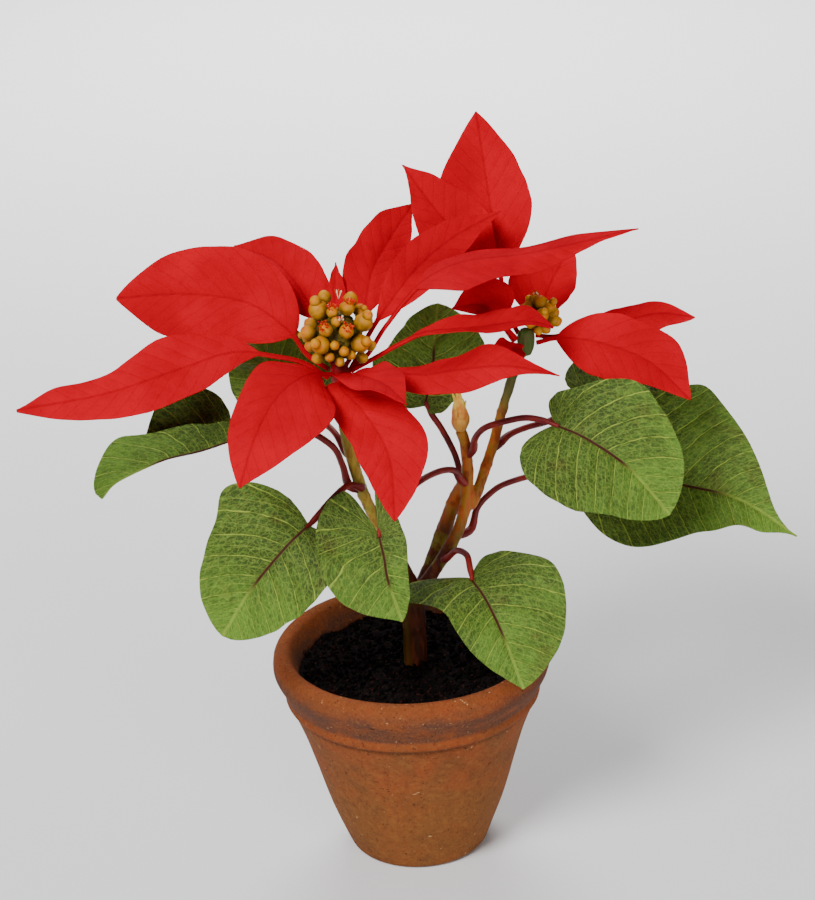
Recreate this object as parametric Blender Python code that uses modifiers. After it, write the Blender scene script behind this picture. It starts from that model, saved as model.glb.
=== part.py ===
"""A poinsettia in its terracotta pot.

Metres, +Z up. The origin is the centre of the pot's foot, and the front of the plant looks along -Y.
Driving dimensions are written in millimetres.
"""
import math
import random
from typing import NamedTuple

import bmesh
import bpy
from mathutils import Vector

MM = 0.001
GAP = 0.3

POT_STEPS = 32
POT_INSIDE_FOOT = 27
POT_FLOOR = 8
POT_PROFILE = (
    (54, 97), (55, 99), (57, 100), (60, 99), (62, 96), (62.5, 91), (60.4, 85), (57.6, 79), (57.2, 77),
    (57, 74.5), (55, 72.5), (50, 59), (45.5, 43), (38, 18), (32, 3), (29, 0),
)
POT_INSIDE_TOP = (52, 90)

SOIL_TOP = 88
SOIL_MOUND = 2
SOIL_RINGS = 5
SOIL_WALL_GAP = 0.5
SOIL_LUMP = 0.8
HOLE_BOTTOM = 72
HOLE_CLEARANCE = 0.5
HOLE_CUTTER_HEIGHT = 40

TRUNK_RADIUS = 5.6
KNOB_RADIUS = 4
KNOB_HEIGHT = 6
STALK_HALF_WIDTH = 1
STALK_THICKNESS = 1.8
BLADE_THICKNESS = 0.8
TIP_HALF_WIDTH = 0.4
TIER_STEP = 2.6
FOOT_DROP = 2
FOOT_CLEARANCE = 0.2
BLADE_ACROSS = 6
BRACT_ALONG = 9
LEAF_ALONG = 8
PETIOLE_RADIUS = 1.4
PETIOLE_TIP_SHARE = 0.6

RED = (0.62, 0.02, 0.025, 1)
GREEN = (0.09, 0.20, 0.04, 1)
PETIOLE_RED = (0.13, 0.015, 0.015, 1)
TERRACOTTA = (0.42, 0.14, 0.05, 1)
SOIL_BROWN = (0.02, 0.012, 0.009, 1)
BARK = (0.16, 0.07, 0.025, 1)
YELLOW = (0.55, 0.27, 0.03, 1)
CREAM = (0.72, 0.50, 0.28, 1)


class Blade(NamedTuple):
    """One bract or leaf blade, by the places that its midrib runs through, foot first.

    Pairs are for the left and the right half, as seen by someone who looks from the foot to the tip.
    A bump is the half that it is on, its place along the blade, its reach and its spread.
    """
    name: str
    midrib: tuple
    faces: tuple
    halves: tuple
    fold: int = 8
    curl: int = 0
    ripple: float = 1.0
    stalk: float = 0.16
    peak: float = 0.45
    taper: tuple = (1.1, 1.1)
    base: float = 0.9
    lobe: int = 0
    foot: float = 0.4
    bumps: tuple = ()
    tier: int = 0


LEFT_CROWN = (-24, -30, 241)
LEFT_BRACTS = (
    Blade("bract_left_far", ((-38, -34, 249), (-49, -38, 254), (-67, -44, 259), (-88, -52, 256),
                             (-118, -60, 250), (-153, -66, 247)),
          ((0, -3, 4), (0, -6, 4)), (14, 15), stalk=0.24, peak=0.4, taper=(1.0, 1.4),
          bumps=((0, 0.85, 1.5, 0.2), (1, 0.6, -4, 0.18), (1, 0.86, 2.5, 0.1))),
    Blade("bract_left_upper", ((-37, -25, 249), (-45, -20, 259), (-62, -12, 269), (-88, -4, 271),
                               (-117, 0, 269)),
          ((-2, -8, 4), (0, -8, 4)), (20, 21), stalk=0.2, peak=0.4, taper=(0.9, 0.8), base=0.6,
          bumps=((0, 0.78, 5, 0.16), (1, 0.7, 1, 0.2)), tier=1),
    Blade("bract_left_back", ((-29, -17, 249), (-34, -8, 262), (-49, 18, 275), (-69, 44, 275)),
          ((-1, -3, 4), (0, -4, 5)), (15, 14), stalk=0.25, taper=(0.9, 0.9),
          bumps=((1, 0.15, 3, 0.12), (1, 0.55, -1.5, 0.15))),
    Blade("bract_left_small", ((-24, -16, 249), (-25, -11, 259), (-25, -4, 268), (-24, 4, 279)),
          ((0, -6, 3), (0, -6, 3)), (3, 5), stalk=0.4, tier=2),
    Blade("bract_left_upright", ((-17, -18, 249), (-13, -10, 260), (-9, 8, 273), (0, 24, 283), (10, 36, 293)),
          ((-1, -6, 5), (2, -6, 4)), (13, 13), stalk=0.28, taper=(0.9, 1.1),
          bumps=((0, 0.15, 2, 0.12), (0, 0.5, -1, 0.12), (0, 0.8, 2, 0.12)), tier=1),
    Blade("bract_left_diagonal", ((-15, -21, 248), (-8, -14, 258), (8, 0, 274), (25, 10, 285), (47, 20, 293)),
          ((3, -5, 6), (2, -6, 6)), (10, 11), stalk=0.25),
    Blade("bract_left_long", ((-12, -26, 249), (-4, -23, 260), (11, -20, 276), (29, -14, 283), (58, -6, 283),
                              (104, 6, 287)),
          ((0, 1, 5), (0, -3, 5)), (11, 14), fold=-16, stalk=0.3, peak=0.18, taper=(0.8, 1.5),
          bumps=((1, 0.12, 4, 0.12),), tier=1),
    Blade("bract_left_level", ((-10, -32, 249), (2, -34, 256), (14, -30, 259), (33, -25, 258), (54, -18, 257),
                               (66, -14, 252)),
          ((0, -1, 6), (2, -2, 6)), (8, 5), stalk=0.3, peak=0.55, taper=(0.6, 0.6),
          bumps=((0, 0.86, 3, 0.1),), tier=1),
    Blade("bract_left_folded", ((-12, -39, 247), (9, -50, 248), (23, -52, 250), (44, -50, 250),
                                (66, -46, 243)),
          ((0, -1, 6), (1, -6, 4)), (8, 10), fold=-18, stalk=0.12, peak=0.42, taper=(0.9, 1.8),
          bumps=((0, 0.65, 6, 0.12),)),
    Blade("bract_left_front_wide", ((-38, -46, 248), (-49, -60, 245), (-58, -74, 234), (-65, -83, 216)),
          ((-1, -4, 6), (-2, -9, 3)), (24, 13), stalk=0.1, peak=0.5, taper=(1.05, 0.8),
          base=0.7, bumps=((0, 0.35, 4, 0.2), (1, 0.25, 4, 0.15)), tier=1),
    Blade("bract_left_front_low", ((-23, -48, 242), (-14, -60, 236), (-5, -69, 220), (-4, -74, 194)),
          ((0, -4, 6), (1, -9, 2)), (15, 13), stalk=0.06, peak=0.5, taper=(0.8, 0.9),
          base=0.5, bumps=((0, 0.6, 3, 0.1), (1, 0.45, -1, 0.1))),
    Blade("bract_left_front_short", ((-16, -52, 250), (-5, -67, 251), (3, -79, 247)),
          ((1, -2, 6), (2, -4, 6)), (12, 12), stalk=0.1, base=0.6, tier=1),
)
RIGHT_CROWN = (56, 15, 235)
RIGHT_BRACTS = (
    Blade("bract_right_top", ((49, 24, 245), (47, 28, 255), (46, 34, 270), (43, 46, 292), (39, 56, 327)),
          ((0, -7, 3), (0, -8, 3)), (21, 18), stalk=0.28, peak=0.42, taper=(0.9, 0.9),
          bumps=((0, 0.62, 2, 0.15),), tier=1),
    Blade("bract_right_upper", ((45, 17, 245), (40, 19, 258), (31, 25, 277), (18, 33, 293), (6, 41, 309)),
          ((0, -7, 5), (0, -7, 4)), (14, 16), stalk=0.3, peak=0.45, taper=(1.6, 1.3),
          bumps=((1, 0.85, 2, 0.12),)),
    Blade("bract_right_back", ((62, 28, 241), (69, 40, 253), (80, 54, 266)),
          ((0, -6, 4), (0, -6, 5)), (14, 11), stalk=0.2, bumps=((0, 0.22, 6, 0.22),)),
    Blade("bract_right_low", ((70, 10, 238), (87, 2, 238), (107, -8, 232), (123, -18, 218)),
          ((0, -6, 4), (3, -6, 3)), (14, 16), stalk=0.12, peak=0.4, taper=(0.7, 1.0), base=0.7,
          bumps=((0, 0.7, 3, 0.15),)),
    Blade("bract_right_far", ((70, 18, 236), (93, 22, 238), (113, 24, 242), (130, 22, 240)),
          ((0, -3, 5), (0, -4, 5)), (7, 12), stalk=0.2, taper=(0.8, 0.8), tier=1),
    Blade("bract_right_short", ((46, 8, 246), (40, 0, 257), (33, -6, 261), (24, -10, 261)),
          ((-1, -6, 5), (-1, -6, 5)), (9, 13), stalk=0.2, tier=1),
    Blade("bract_right_under", ((52, 6, 237), (47, -2, 237), (41, -10, 234)),
          ((0, -4, 5), (0, -6, 4)), (7, 7), stalk=0.15),
)
LEAF_TAPER = (0.65, 0.65)
LEAVES = (
    Blade("leaf_far_left", ((-71, -42, 220), (-83, -46, 218), (-99, -50, 216), (-117, -54, 209),
                            (-124, -56, 202)),
          ((0, 0, 6), (0, 0, 6)), (16, 28), fold=62, peak=0.3, taper=(0.4, 2.6), lobe=4, foot=0.4,
          bumps=((0, 0.68, 10, 0.18), (1, 0.6, -8, 0.2)), stalk=0),
    Blade("leaf_left_back", ((-37, 2, 212), (-47, 16, 217), (-59, 30, 229), (-67, 42, 235)),
          ((0, -5, 5), (0, -6, 4)), (22, 22), taper=LEAF_TAPER, lobe=5, stalk=0),
    Blade("leaf_middle_back", ((11, 16, 207), (15, 24, 220), (17, 34, 233), (19, 44, 244)),
          ((0, -6, 4), (0, -6, 4)), (18, 24), taper=LEAF_TAPER, lobe=3,
          bumps=((0, 0.3, 9, 0.22), (1, 0.15, -8, 0.25)), stalk=0),
    Blade("leaf_low_left", ((-40, -48, 182), (-50, -54, 175), (-66, -57, 157), (-79, -56, 136)),
          ((-1, -6, 4), (-1, -8, 2)), (25, 29), peak=0.28, taper=(0.55, 0.65), lobe=2, foot=0.45,
          bumps=((1, 0.2, 7, 0.13),), stalk=0),
    Blade("leaf_low_middle", ((-11, -56, 180), (-9, -62, 171), (-8, -65, 163), (-3, -64, 143)),
          ((0, -8, 3), (0, -8, 2)), (10, 27), peak=0.28, taper=(0.7, 1.0), lobe=21, stalk=0),
    Blade("leaf_low_right", ((27, -34, 147), (33, -46, 142), (40, -56, 128), (47, -60, 106)),
          ((1, -5, 6), (1, -7, 4)), (33, 19), peak=0.32, taper=(0.65, 1.0), lobe=7,
          bumps=((0, 0.1, -3, 0.12), (1, 0.05, 20, 0.13)), stalk=0),
    Blade("leaf_right", ((65, -26, 213), (78, -34, 209), (95, -42, 198), (111, -46, 178)),
          ((0, -7, 6), (1, -8, 4)), (32, 27), peak=0.35, taper=LEAF_TAPER, lobe=7, foot=0.5,
          bumps=((0, 0.65, -3, 0.2), (0, 0.08, -9, 0.16), (1, 0.12, 4, 0.15), (1, 0.4, 4, 0.2)), stalk=0),
    Blade("leaf_far_right", ((89, 20, 171), (123, 10, 166), (148, 2, 161), (172, -4, 145)),
          ((0, -7, 5), (0, -6, 5)), (39, 31), peak=0.32, taper=(1.9, 2.0), lobe=8,
          bumps=((0, 0.45, 8, 0.16), (0, 0.8, -2, 0.1), (1, 0.2, 3, 0.15), (1, 0.5, -4, 0.12),
                 (1, 0.85, 4, 0.1)), stalk=0),
    Blade("leaf_right_back", ((84, 44, 198), (98, 52, 201), (117, 60, 200), (132, 66, 192)),
          ((0, -3, 6), (0, -3, 6)), (20, 18), taper=LEAF_TAPER, lobe=5, stalk=0),
)
LEAF_ROW_EASE = 1.2

LEFT_BRANCH = ((2, 0, 124), (-1, -2, 136), (-9, -12, 159), (-16, -20, 179), (-20, -26, 197), (-23, -29, 215),
               (-24, -30, 230), (-24, -30, 240))
LEFT_BRANCH_RADII = (4, 3, 2.8, 2.6, 2.6, 2.5, 2.5, 3)
BACK_BRANCH = ((5, 1, 122), (10, 6, 131), (17, 8, 150), (23, 5, 168), (27, 1, 177))
BACK_BRANCH_RADII = (5, 4, 3.6, 3, 2.4)
MIDDLE_BRANCH = ((4, -2, 122), (10, -3, 133), (19, -5, 148), (25, -3, 160), (28, 0, 175), (28, 1, 192),
                 (26, 1, 201))
MIDDLE_BRANCH_RADII = (4, 3, 2.8, 2.7, 2.7, 2.5, 2.5)
RIGHT_BRANCH = ((28, 0, 165), (31, 1, 168), (36, 5, 180), (40, 8, 190), (44, 11, 203), (48, 13, 215),
                (52, 14, 227), (56, 15, 235))
RIGHT_BRANCH_RADII = (2.6, 2.5, 2.4, 2.4, 2.2, 2.2, 2.2, 3)
TRUNK = ((2, 0, HOLE_BOTTOM + GAP), (2, 0, 88), (2, 0, 105), (2, 0, 124), (2, 0, 129))
TRUNK_RADII = (4.5, TRUNK_RADIUS, 5.2, 5.4, 3)

PETIOLES = (
    ("petiole_far_left", ((-23, -25, 189), (-25, -31, 201), (-29, -37, 213), (-42, -42, 224),
                          (-57, -43, 226))),
    ("petiole_left_back", ((-24, -24, 205), (-27, -18, 209), (-30, -11, 210), (-34, -4, 210))),
    ("petiole_middle_back", ((25, 9, 171), (25, 12, 177), (23, 14, 185), (18, 15, 196), (14, 15, 203))),
    ("petiole_low_left", ((-18, -28, 189), (-23, -34, 193), (-30, -41, 190), (-38, -46, 183))),
    ("petiole_low_middle", ((25, -4, 180), (22, -10, 187), (15, -20, 191), (6, -33, 192), (-3, -45, 188),
                            (-10, -53, 182))),
    ("petiole_low_right", ((18, -9, 145), (22, -15, 151), (26, -24, 153), (27, -30, 150))),
    ("petiole_right", ((31, -2, 193), (32, -6, 200), (36, -12, 207), (44, -18, 212), (53, -22, 215),
                       (61, -24, 214))),
    ("petiole_far_right", ((29, 2, 153), (32, 6, 161), (38, 10, 166), (46, 14, 169), (64, 19, 171),
                           (84, 21, 171))),
    ("petiole_right_back", ((43, 10, 190), (48, 15, 192), (56, 22, 192), (67, 31, 191), (80, 41, 194))),
)

HEAD_SEED = 12
LEFT_HEAD = (-24, -30, 258)
LEFT_HEAD_RINGS = ((15, 2), (42, 6), (72, 9), (102, 8))
LEFT_HEAD_REACH = 13
RIGHT_HEAD = (62, 17, 246)
RIGHT_HEAD_RINGS = ((20, 2), (60, 6), (95, 5))
RIGHT_HEAD_REACH = 6
CYATHIUM_WIDTH = 3.2
CYATHIUM_LENGTH = 4.2
HEAD_CORE_SHARE = 0.92

BUD_FOOT = (26, 1, 202)
BUD_PROFILE = ((0, 18), (0.9, 16.5), (2, 13.5), (3.3, 9.5), (4.2, 5.5), (3.8, 2.5), (2.4, 0), (0, 0))
BUD_STEPS = 12


def clear_scene():
    for thing in list(bpy.data.objects):
        bpy.data.objects.remove(thing)


def material(name, colour, roughness):
    made = bpy.data.materials.new(name)
    made.use_nodes = True
    shader = made.node_tree.nodes["Principled BSDF"]
    shader.inputs["Base Color"].default_value = colour
    shader.inputs["Roughness"].default_value = roughness
    shader.inputs["Metallic"].default_value = 0
    return made


def collection(name):
    made = bpy.data.collections.new(name)
    bpy.context.scene.collection.children.link(made)
    return made


def add_mesh_object(name, bm, home, finish=None):
    mesh = bpy.data.meshes.new(name)
    bm.to_mesh(mesh)
    bm.free()
    made = bpy.data.objects.new(name, mesh)
    home.objects.link(made)
    if finish:
        mesh.materials.append(finish)
    return made


def apply_modifiers(thing):
    """Bake the object's modifiers into its mesh."""
    seen = thing.evaluated_get(bpy.context.evaluated_depsgraph_get())
    baked = bpy.data.meshes.new_from_object(seen)
    thing.modifiers.clear()
    thing.data = baked


def smooth_path(points, steps, ease=1.0):
    """Steps along one smooth curve through the points, even or, by an ease over 1, closer at the start."""
    knots = [Vector(point) for point in points]
    knots = [2 * knots[0] - knots[1]] + knots + [2 * knots[-1] - knots[-2]]
    dense = []
    for before, start, end, after in zip(knots, knots[1:], knots[2:], knots[3:]):
        for tick in range(12):
            t = tick / 12
            dense.append(0.5 * (2 * start + (end - before) * t
                                + (2 * before - 5 * start + 4 * end - after) * t * t
                                + (3 * start - before - 3 * end + after) * t * t * t))
    dense.append(knots[-2])
    reach = [0.0]
    for start, end in zip(dense, dense[1:]):
        reach.append(reach[-1] + (end - start).length)
    path = []
    leg = 0
    for step in range(steps + 1):
        goal = reach[-1] * (step / steps) ** ease
        while leg < len(reach) - 2 and reach[leg + 1] < goal:
            leg += 1
        share = (goal - reach[leg]) / (reach[leg + 1] - reach[leg])
        path.append(dense[leg].lerp(dense[leg + 1], min(max(share, 0), 1)))
    return path


def tube(name, points, radii, home, sides_step=2):
    """A round bar through the points, in millimetres, as a closed mesh."""
    curve = bpy.data.curves.new(name, "CURVE")
    curve.dimensions = "3D"
    curve.bevel_depth = MM
    curve.bevel_resolution = sides_step
    curve.use_fill_caps = True
    spline = curve.splines.new("POLY")
    spline.points.add(len(points) - 1)
    for knot, place, radius in zip(spline.points, points, radii):
        knot.co = (*(Vector(place) * MM), 1)
        knot.radius = radius
    guide = bpy.data.objects.new(name, curve)
    home.objects.link(guide)
    seen = guide.evaluated_get(bpy.context.evaluated_depsgraph_get())
    mesh = bpy.data.meshes.new_from_object(seen)
    bpy.data.objects.remove(guide)
    bm = bmesh.new()
    bm.from_mesh(mesh)
    bmesh.ops.remove_doubles(bm, verts=bm.verts, dist=1e-6)
    bmesh.ops.recalc_face_normals(bm, faces=bm.faces)
    return add_mesh_object(name, bm, home)


def join_all(name, pieces, home, finish):
    """Fuse overlapping closed pieces into one object."""
    group = collection(name + "_pieces")
    body = pieces[0]
    for piece in pieces[1:]:
        group.objects.link(piece)
        home.objects.unlink(piece)
    union = body.modifiers.new("join", "BOOLEAN")
    union.operation = "UNION"
    union.operand_type = "COLLECTION"
    union.collection = group
    apply_modifiers(body)
    for piece in list(group.objects):
        bpy.data.objects.remove(piece)
    bpy.data.collections.remove(group)
    body.name = name
    body.data.materials.clear()
    body.data.materials.append(finish)
    return body


def shade_round(thing, degrees=40):
    thing.data.shade_smooth()
    thing.data.set_sharp_from_angle(angle=math.radians(degrees))


def turned(name, profile, steps, home, finish):
    """A profile of radius and height, top to bottom on the outer side, turned round the Z axis."""
    bm = bmesh.new()
    verts = [bm.verts.new((radius * MM, 0, height * MM)) for radius, height in profile]
    for start, end in zip(verts, verts[1:]):
        bm.edges.new((start, end))
    made = add_mesh_object(name, bm, home, finish)
    screw = made.modifiers.new("turn", "SCREW")
    screw.steps = steps
    screw.render_steps = steps
    screw.use_merge_vertices = True
    screw.merge_threshold = 1e-5
    return made


def make_pot(home):
    inside = ((0, POT_FLOOR), (POT_INSIDE_FOOT, POT_FLOOR), POT_INSIDE_TOP)
    profile = inside + POT_PROFILE + ((0, 0),)
    pot = turned("terracotta_pot", profile, POT_STEPS, home, material("terracotta", TERRACOTTA, 0.9))
    shade_round(pot)
    return pot


def soil_radius(height):
    """Where the soil meets the pot's inner wall at a height."""
    top_radius, top_height = POT_INSIDE_TOP
    share = (height - POT_FLOOR) / (top_height - POT_FLOOR)
    return POT_INSIDE_FOOT + share * (top_radius - POT_INSIDE_FOOT) - SOIL_WALL_GAP


def soil_lump(x, y):
    """Low uneven lumps, so that the surface isn't flat."""
    return SOIL_LUMP * (math.sin(0.31 * x + 0.9) * math.sin(0.27 * y) + 0.6 * math.sin(0.55 * y + 0.4 * x))


def make_soil(home, cutters):
    floor = POT_FLOOR + GAP
    rim = soil_radius(SOIL_TOP)
    rings = [(rim * (SOIL_RINGS - ring) / SOIL_RINGS, ring) for ring in range(1, SOIL_RINGS + 1)]
    profile = [(radius, SOIL_TOP + SOIL_MOUND * ring / SOIL_RINGS) for radius, ring in reversed(rings)]
    profile += [(rim, SOIL_TOP), (soil_radius(floor), floor), (0, floor)]
    soil = turned("potting_soil", profile, POT_STEPS, home, material("potting_soil", SOIL_BROWN, 1))
    apply_modifiers(soil)
    soil.data.materials.clear()
    soil.data.materials.append(bpy.data.materials["potting_soil"])
    for vert in soil.data.vertices:
        radius = math.hypot(vert.co.x, vert.co.y) / MM
        if vert.co.z > (SOIL_TOP - 1) * MM and radius < rim - 1:
            vert.co.z += MM * soil_lump(vert.co.x / MM, vert.co.y / MM)
    middle = Vector((TRUNK[0][0], TRUNK[0][1], HOLE_BOTTOM + HOLE_CUTTER_HEIGHT / 2)) * MM
    bpy.ops.mesh.primitive_cylinder_add(vertices=16, radius=(TRUNK_RADIUS + HOLE_CLEARANCE) * MM,
                                        depth=HOLE_CUTTER_HEIGHT * MM, location=middle)
    cutter = bpy.context.object
    cutter.name = "trunk_hole"
    for owner in list(cutter.users_collection):
        owner.objects.unlink(cutter)
    cutters.objects.link(cutter)
    cutter.hide_render = True
    cutter.display_type = "WIRE"
    hole = soil.modifiers.new("trunk_hole", "BOOLEAN")
    hole.operation = "DIFFERENCE"
    hole.object = cutter
    shade_round(soil, 60)
    return soil


def knob(name, place, home):
    """The swollen end of a branch that carries a bloom."""
    x, y, z = place
    bpy.ops.mesh.primitive_cone_add(vertices=12, radius1=KNOB_RADIUS * MM, radius2=KNOB_RADIUS * MM,
                                    depth=KNOB_HEIGHT * MM,
                                    location=(x * MM, y * MM, (z + KNOB_HEIGHT / 2 - FOOT_DROP) * MM))
    made = bpy.context.object
    made.name = name
    for owner in list(made.users_collection):
        owner.objects.unlink(made)
    home.objects.link(made)
    made.data.transform(made.matrix_world)
    made.matrix_world.identity()
    return made


def make_stem(home):
    pieces = [
        tube("trunk", TRUNK, TRUNK_RADII, home),
        tube("left_branch", LEFT_BRANCH, LEFT_BRANCH_RADII, home),
        tube("back_branch", BACK_BRANCH, BACK_BRANCH_RADII, home),
        tube("middle_branch", MIDDLE_BRANCH, MIDDLE_BRANCH_RADII, home),
        tube("right_branch", RIGHT_BRANCH, RIGHT_BRANCH_RADII, home),
        knob("left_knob", LEFT_CROWN, home),
        knob("right_knob", RIGHT_CROWN, home),
    ]
    stem = join_all("stem_and_branches", pieces, home, material("bark", BARK, 0.7))
    shade_round(stem, 50)
    return stem


def outline_share(blade, along, half):
    """How much of its full half width the blade has, from its foot at 0 to its tip at 1."""
    if along >= blade.peak:
        fall = math.cos(0.5 * math.pi * (along - blade.peak) / (1 - blade.peak))
        return max(fall, 0) ** blade.taper[half]
    part = along / blade.peak
    if blade.stalk:
        return math.sin(0.5 * math.pi * part) ** blade.base
    return blade.foot + (1 - blade.foot) * math.sqrt(1 - (1 - part) ** 2)


def bump_width(blade, along, half):
    """What the blade's bumps and dents add to its half width."""
    return sum(reach * math.exp(-((along - place) / spread) ** 2)
               for side, place, reach, spread in blade.bumps if side == half)


def blade_point(blade, path, facing, row, share, across):
    """The place of one grid point: across runs from -1 at the left edge to 1 at the right edge."""
    last = len(path) - 1
    tangent = (path[min(row + 1, last)] - path[max(row - 1, 0)]).normalized()
    face = facing[0].lerp(facing[1], share)
    side = tangent.cross(face).normalized()
    normal = side.cross(tangent)
    along = (share - blade.stalk) / (1 - blade.stalk)
    if along < 0:
        return path[row] + side * (across * STALK_HALF_WIDTH)
    half = 0 if across < 0 else 1
    least = STALK_HALF_WIDTH + (TIP_HALF_WIDTH - STALK_HALF_WIDTH) * along
    width = blade.halves[half] * outline_share(blade, along, half) + bump_width(blade, along, half)
    width = max(width, least)
    out = abs(across)
    opened = min(1, 4 * along) if blade.stalk else 1
    lean = math.radians(blade.fold + blade.curl * out) * opened
    wave = blade.ripple * out * out * math.sin(math.pi * along) * math.sin(14 * along + 3 * across)
    back = blade.lobe * math.sin(0.5 * math.pi * out) * (1 - along) ** 3
    return (path[row] + side * (math.copysign(width * out * math.cos(lean), across))
            + normal * (width * out * math.sin(lean) + wave) - tangent * back)


def make_blade(blade, midrib, rows, ease, home, finish):
    """A thin blade with its short stalk, from a flat grid that is bent to its place."""
    path = smooth_path(midrib, rows, ease)
    facing = [Vector(face).normalized() for face in blade.faces]
    bm = bmesh.new()
    bmesh.ops.create_grid(bm, x_segments=BLADE_ACROSS, y_segments=rows, size=1)
    stalk_layer = bm.verts.layers.deform.verify()
    for vert in bm.verts:
        row = round((vert.co.y + 1) / 2 * rows)
        share = (row / rows) ** ease
        opened = 6 * (share - blade.stalk) / (1 - blade.stalk)
        vert[stalk_layer][0] = min(max(1 - opened, 0), 1) if blade.stalk else 0
        vert.co = blade_point(blade, path, facing, row, share, vert.co.x) * MM
    bmesh.ops.triangulate(bm, faces=bm.faces)
    made = add_mesh_object(blade.name, bm, home, finish)
    made.vertex_groups.new(name="stalk")
    wall = made.modifiers.new("thickness", "SOLIDIFY")
    wall.thickness = STALK_THICKNESS * MM
    wall.offset = 0
    wall.vertex_group = "stalk"
    wall.thickness_vertex_group = BLADE_THICKNESS / STALK_THICKNESS
    shade_round(made, 60)
    return made


def bract_foot(crown, blade):
    """Where a bract's stalk starts, just off its bloom's knob and in its own direction."""
    centre = Vector(crown)
    first = Vector(blade.midrib[0]) - centre
    outward = Vector((first.x, first.y, 0)).normalized()
    centre.z += blade.tier * TIER_STEP
    rise = (Vector(blade.midrib[0]) - centre).normalized().z
    return tuple(centre + outward * (KNOB_RADIUS + GAP + FOOT_CLEARANCE + abs(rise) * STALK_THICKNESS / 2))


def make_blooms(home):
    finish = material("bract_red", RED, 0.6)
    for crown, bracts in ((LEFT_CROWN, LEFT_BRACTS), (RIGHT_CROWN, RIGHT_BRACTS)):
        for blade in bracts:
            midrib = (bract_foot(crown, blade),) + blade.midrib
            make_blade(blade, midrib, BRACT_ALONG, 1, home, finish)


def make_leaves(home):
    finish = material("leaf_green", GREEN, 0.55)
    red = material("petiole_red", PETIOLE_RED, 0.5)
    for leaf in LEAVES:
        make_blade(leaf, leaf.midrib, LEAF_ALONG, LEAF_ROW_EASE, home, finish)
    for name, points in PETIOLES:
        steps = 2 * len(points) - 2
        path = smooth_path(points, steps)
        radii = [PETIOLE_RADIUS] * steps + [PETIOLE_RADIUS * PETIOLE_TIP_SHARE]
        petiole = tube(name, path, radii, home, sides_step=1)
        petiole.data.materials.append(red)
        shade_round(petiole)


def egg(place, outward, width, length, home):
    """One cyathium, as an egg with its narrow end outwards."""
    bpy.ops.mesh.primitive_uv_sphere_add(segments=7, ring_count=5, radius=1)
    made = bpy.context.object
    for owner in list(made.users_collection):
        owner.objects.unlink(made)
    home.objects.link(made)
    turn = outward.to_track_quat("Z", "Y")
    for vert in made.data.vertices:
        pinch = 1 - 0.2 * vert.co.z
        local = Vector((vert.co.x * width * pinch, vert.co.y * width * pinch, vert.co.z * length))
        vert.co = (turn @ local + place) * MM
    return made


def make_head(name, centre, rings, reach, home, finish):
    """A bloom's head: eggs in rings round a smaller core."""
    draw = random.Random(HEAD_SEED)
    middle = Vector(centre)
    core_reach = reach * HEAD_CORE_SHARE
    eggs = [egg(middle, Vector((0, 0, 1)), core_reach, core_reach, home)]
    for lean, count in rings:
        for index in range(count):
            turn = 2 * math.pi * (index + 0.5 * (lean % 2) + draw.uniform(-0.12, 0.12)) / count
            tilt = math.radians(lean + draw.uniform(-6, 6))
            level = math.sin(tilt)
            outward = Vector((level * math.cos(turn), level * math.sin(turn), math.cos(tilt)))
            size = draw.uniform(0.88, 1.12)
            place = middle + outward * (reach + draw.uniform(-1, 0.6))
            eggs.append(egg(place, outward, CYATHIUM_WIDTH * size, CYATHIUM_LENGTH * size, home))
    head = join_all(name, eggs, home, finish)
    shade_round(head, 50)
    return head


def make_bud(home):
    """The closed bud: a spindle whose three twisted ridges are its scales, ending in a point."""
    bud = turned("stem_bud", BUD_PROFILE, BUD_STEPS, home, material("bud_cream", CREAM, 0.6))
    apply_modifiers(bud)
    foot = Vector(BUD_FOOT)
    for vert in bud.data.vertices:
        height = vert.co.z / (BUD_PROFILE[0][1] * MM)
        turn = math.atan2(vert.co.y, vert.co.x)
        ridge = 1 + 0.14 * math.cos(3 * turn + 4 * height)
        vert.co = Vector((vert.co.x * ridge, vert.co.y * ridge, vert.co.z)) + foot * MM
    shade_round(bud, 60)
    return bud


def main():
    clear_scene()
    plant = collection("poinsettia_in_pot")
    cutters = collection("cutters")
    make_pot(plant)
    make_soil(plant, cutters)
    make_stem(plant)
    make_bud(plant)
    make_blooms(plant)
    yellow = material("cyathium_yellow", YELLOW, 0.5)
    make_head("cyathia_left", LEFT_HEAD, LEFT_HEAD_RINGS, LEFT_HEAD_REACH, plant, yellow)
    make_head("cyathia_right", RIGHT_HEAD, RIGHT_HEAD_RINGS, RIGHT_HEAD_REACH, plant, yellow)
    make_leaves(plant)


main()
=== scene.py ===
# %% [markdown]
# # A poinsettia in its terracotta pot
# The plant has two blooms of red bracts, nine green leaves on dark red stalks, a branching stem and one
# closed bud. It stands in a clay florist's pot that is 125 mm across its rim. The solid model, which is
# loaded first, gives every part its place. This lesson dresses it: each leaf, bract, stem and crumb of soil
# is modelled again with the fine form that the solid leaves out, and every finish is mixed from Blender's
# own nodes. Lengths are in millimetres, and become metres where a mesh takes them.

import math
import random
from functools import partial
from typing import NamedTuple

import bmesh
import bpy
from mathutils import Matrix, Vector, noise


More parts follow.
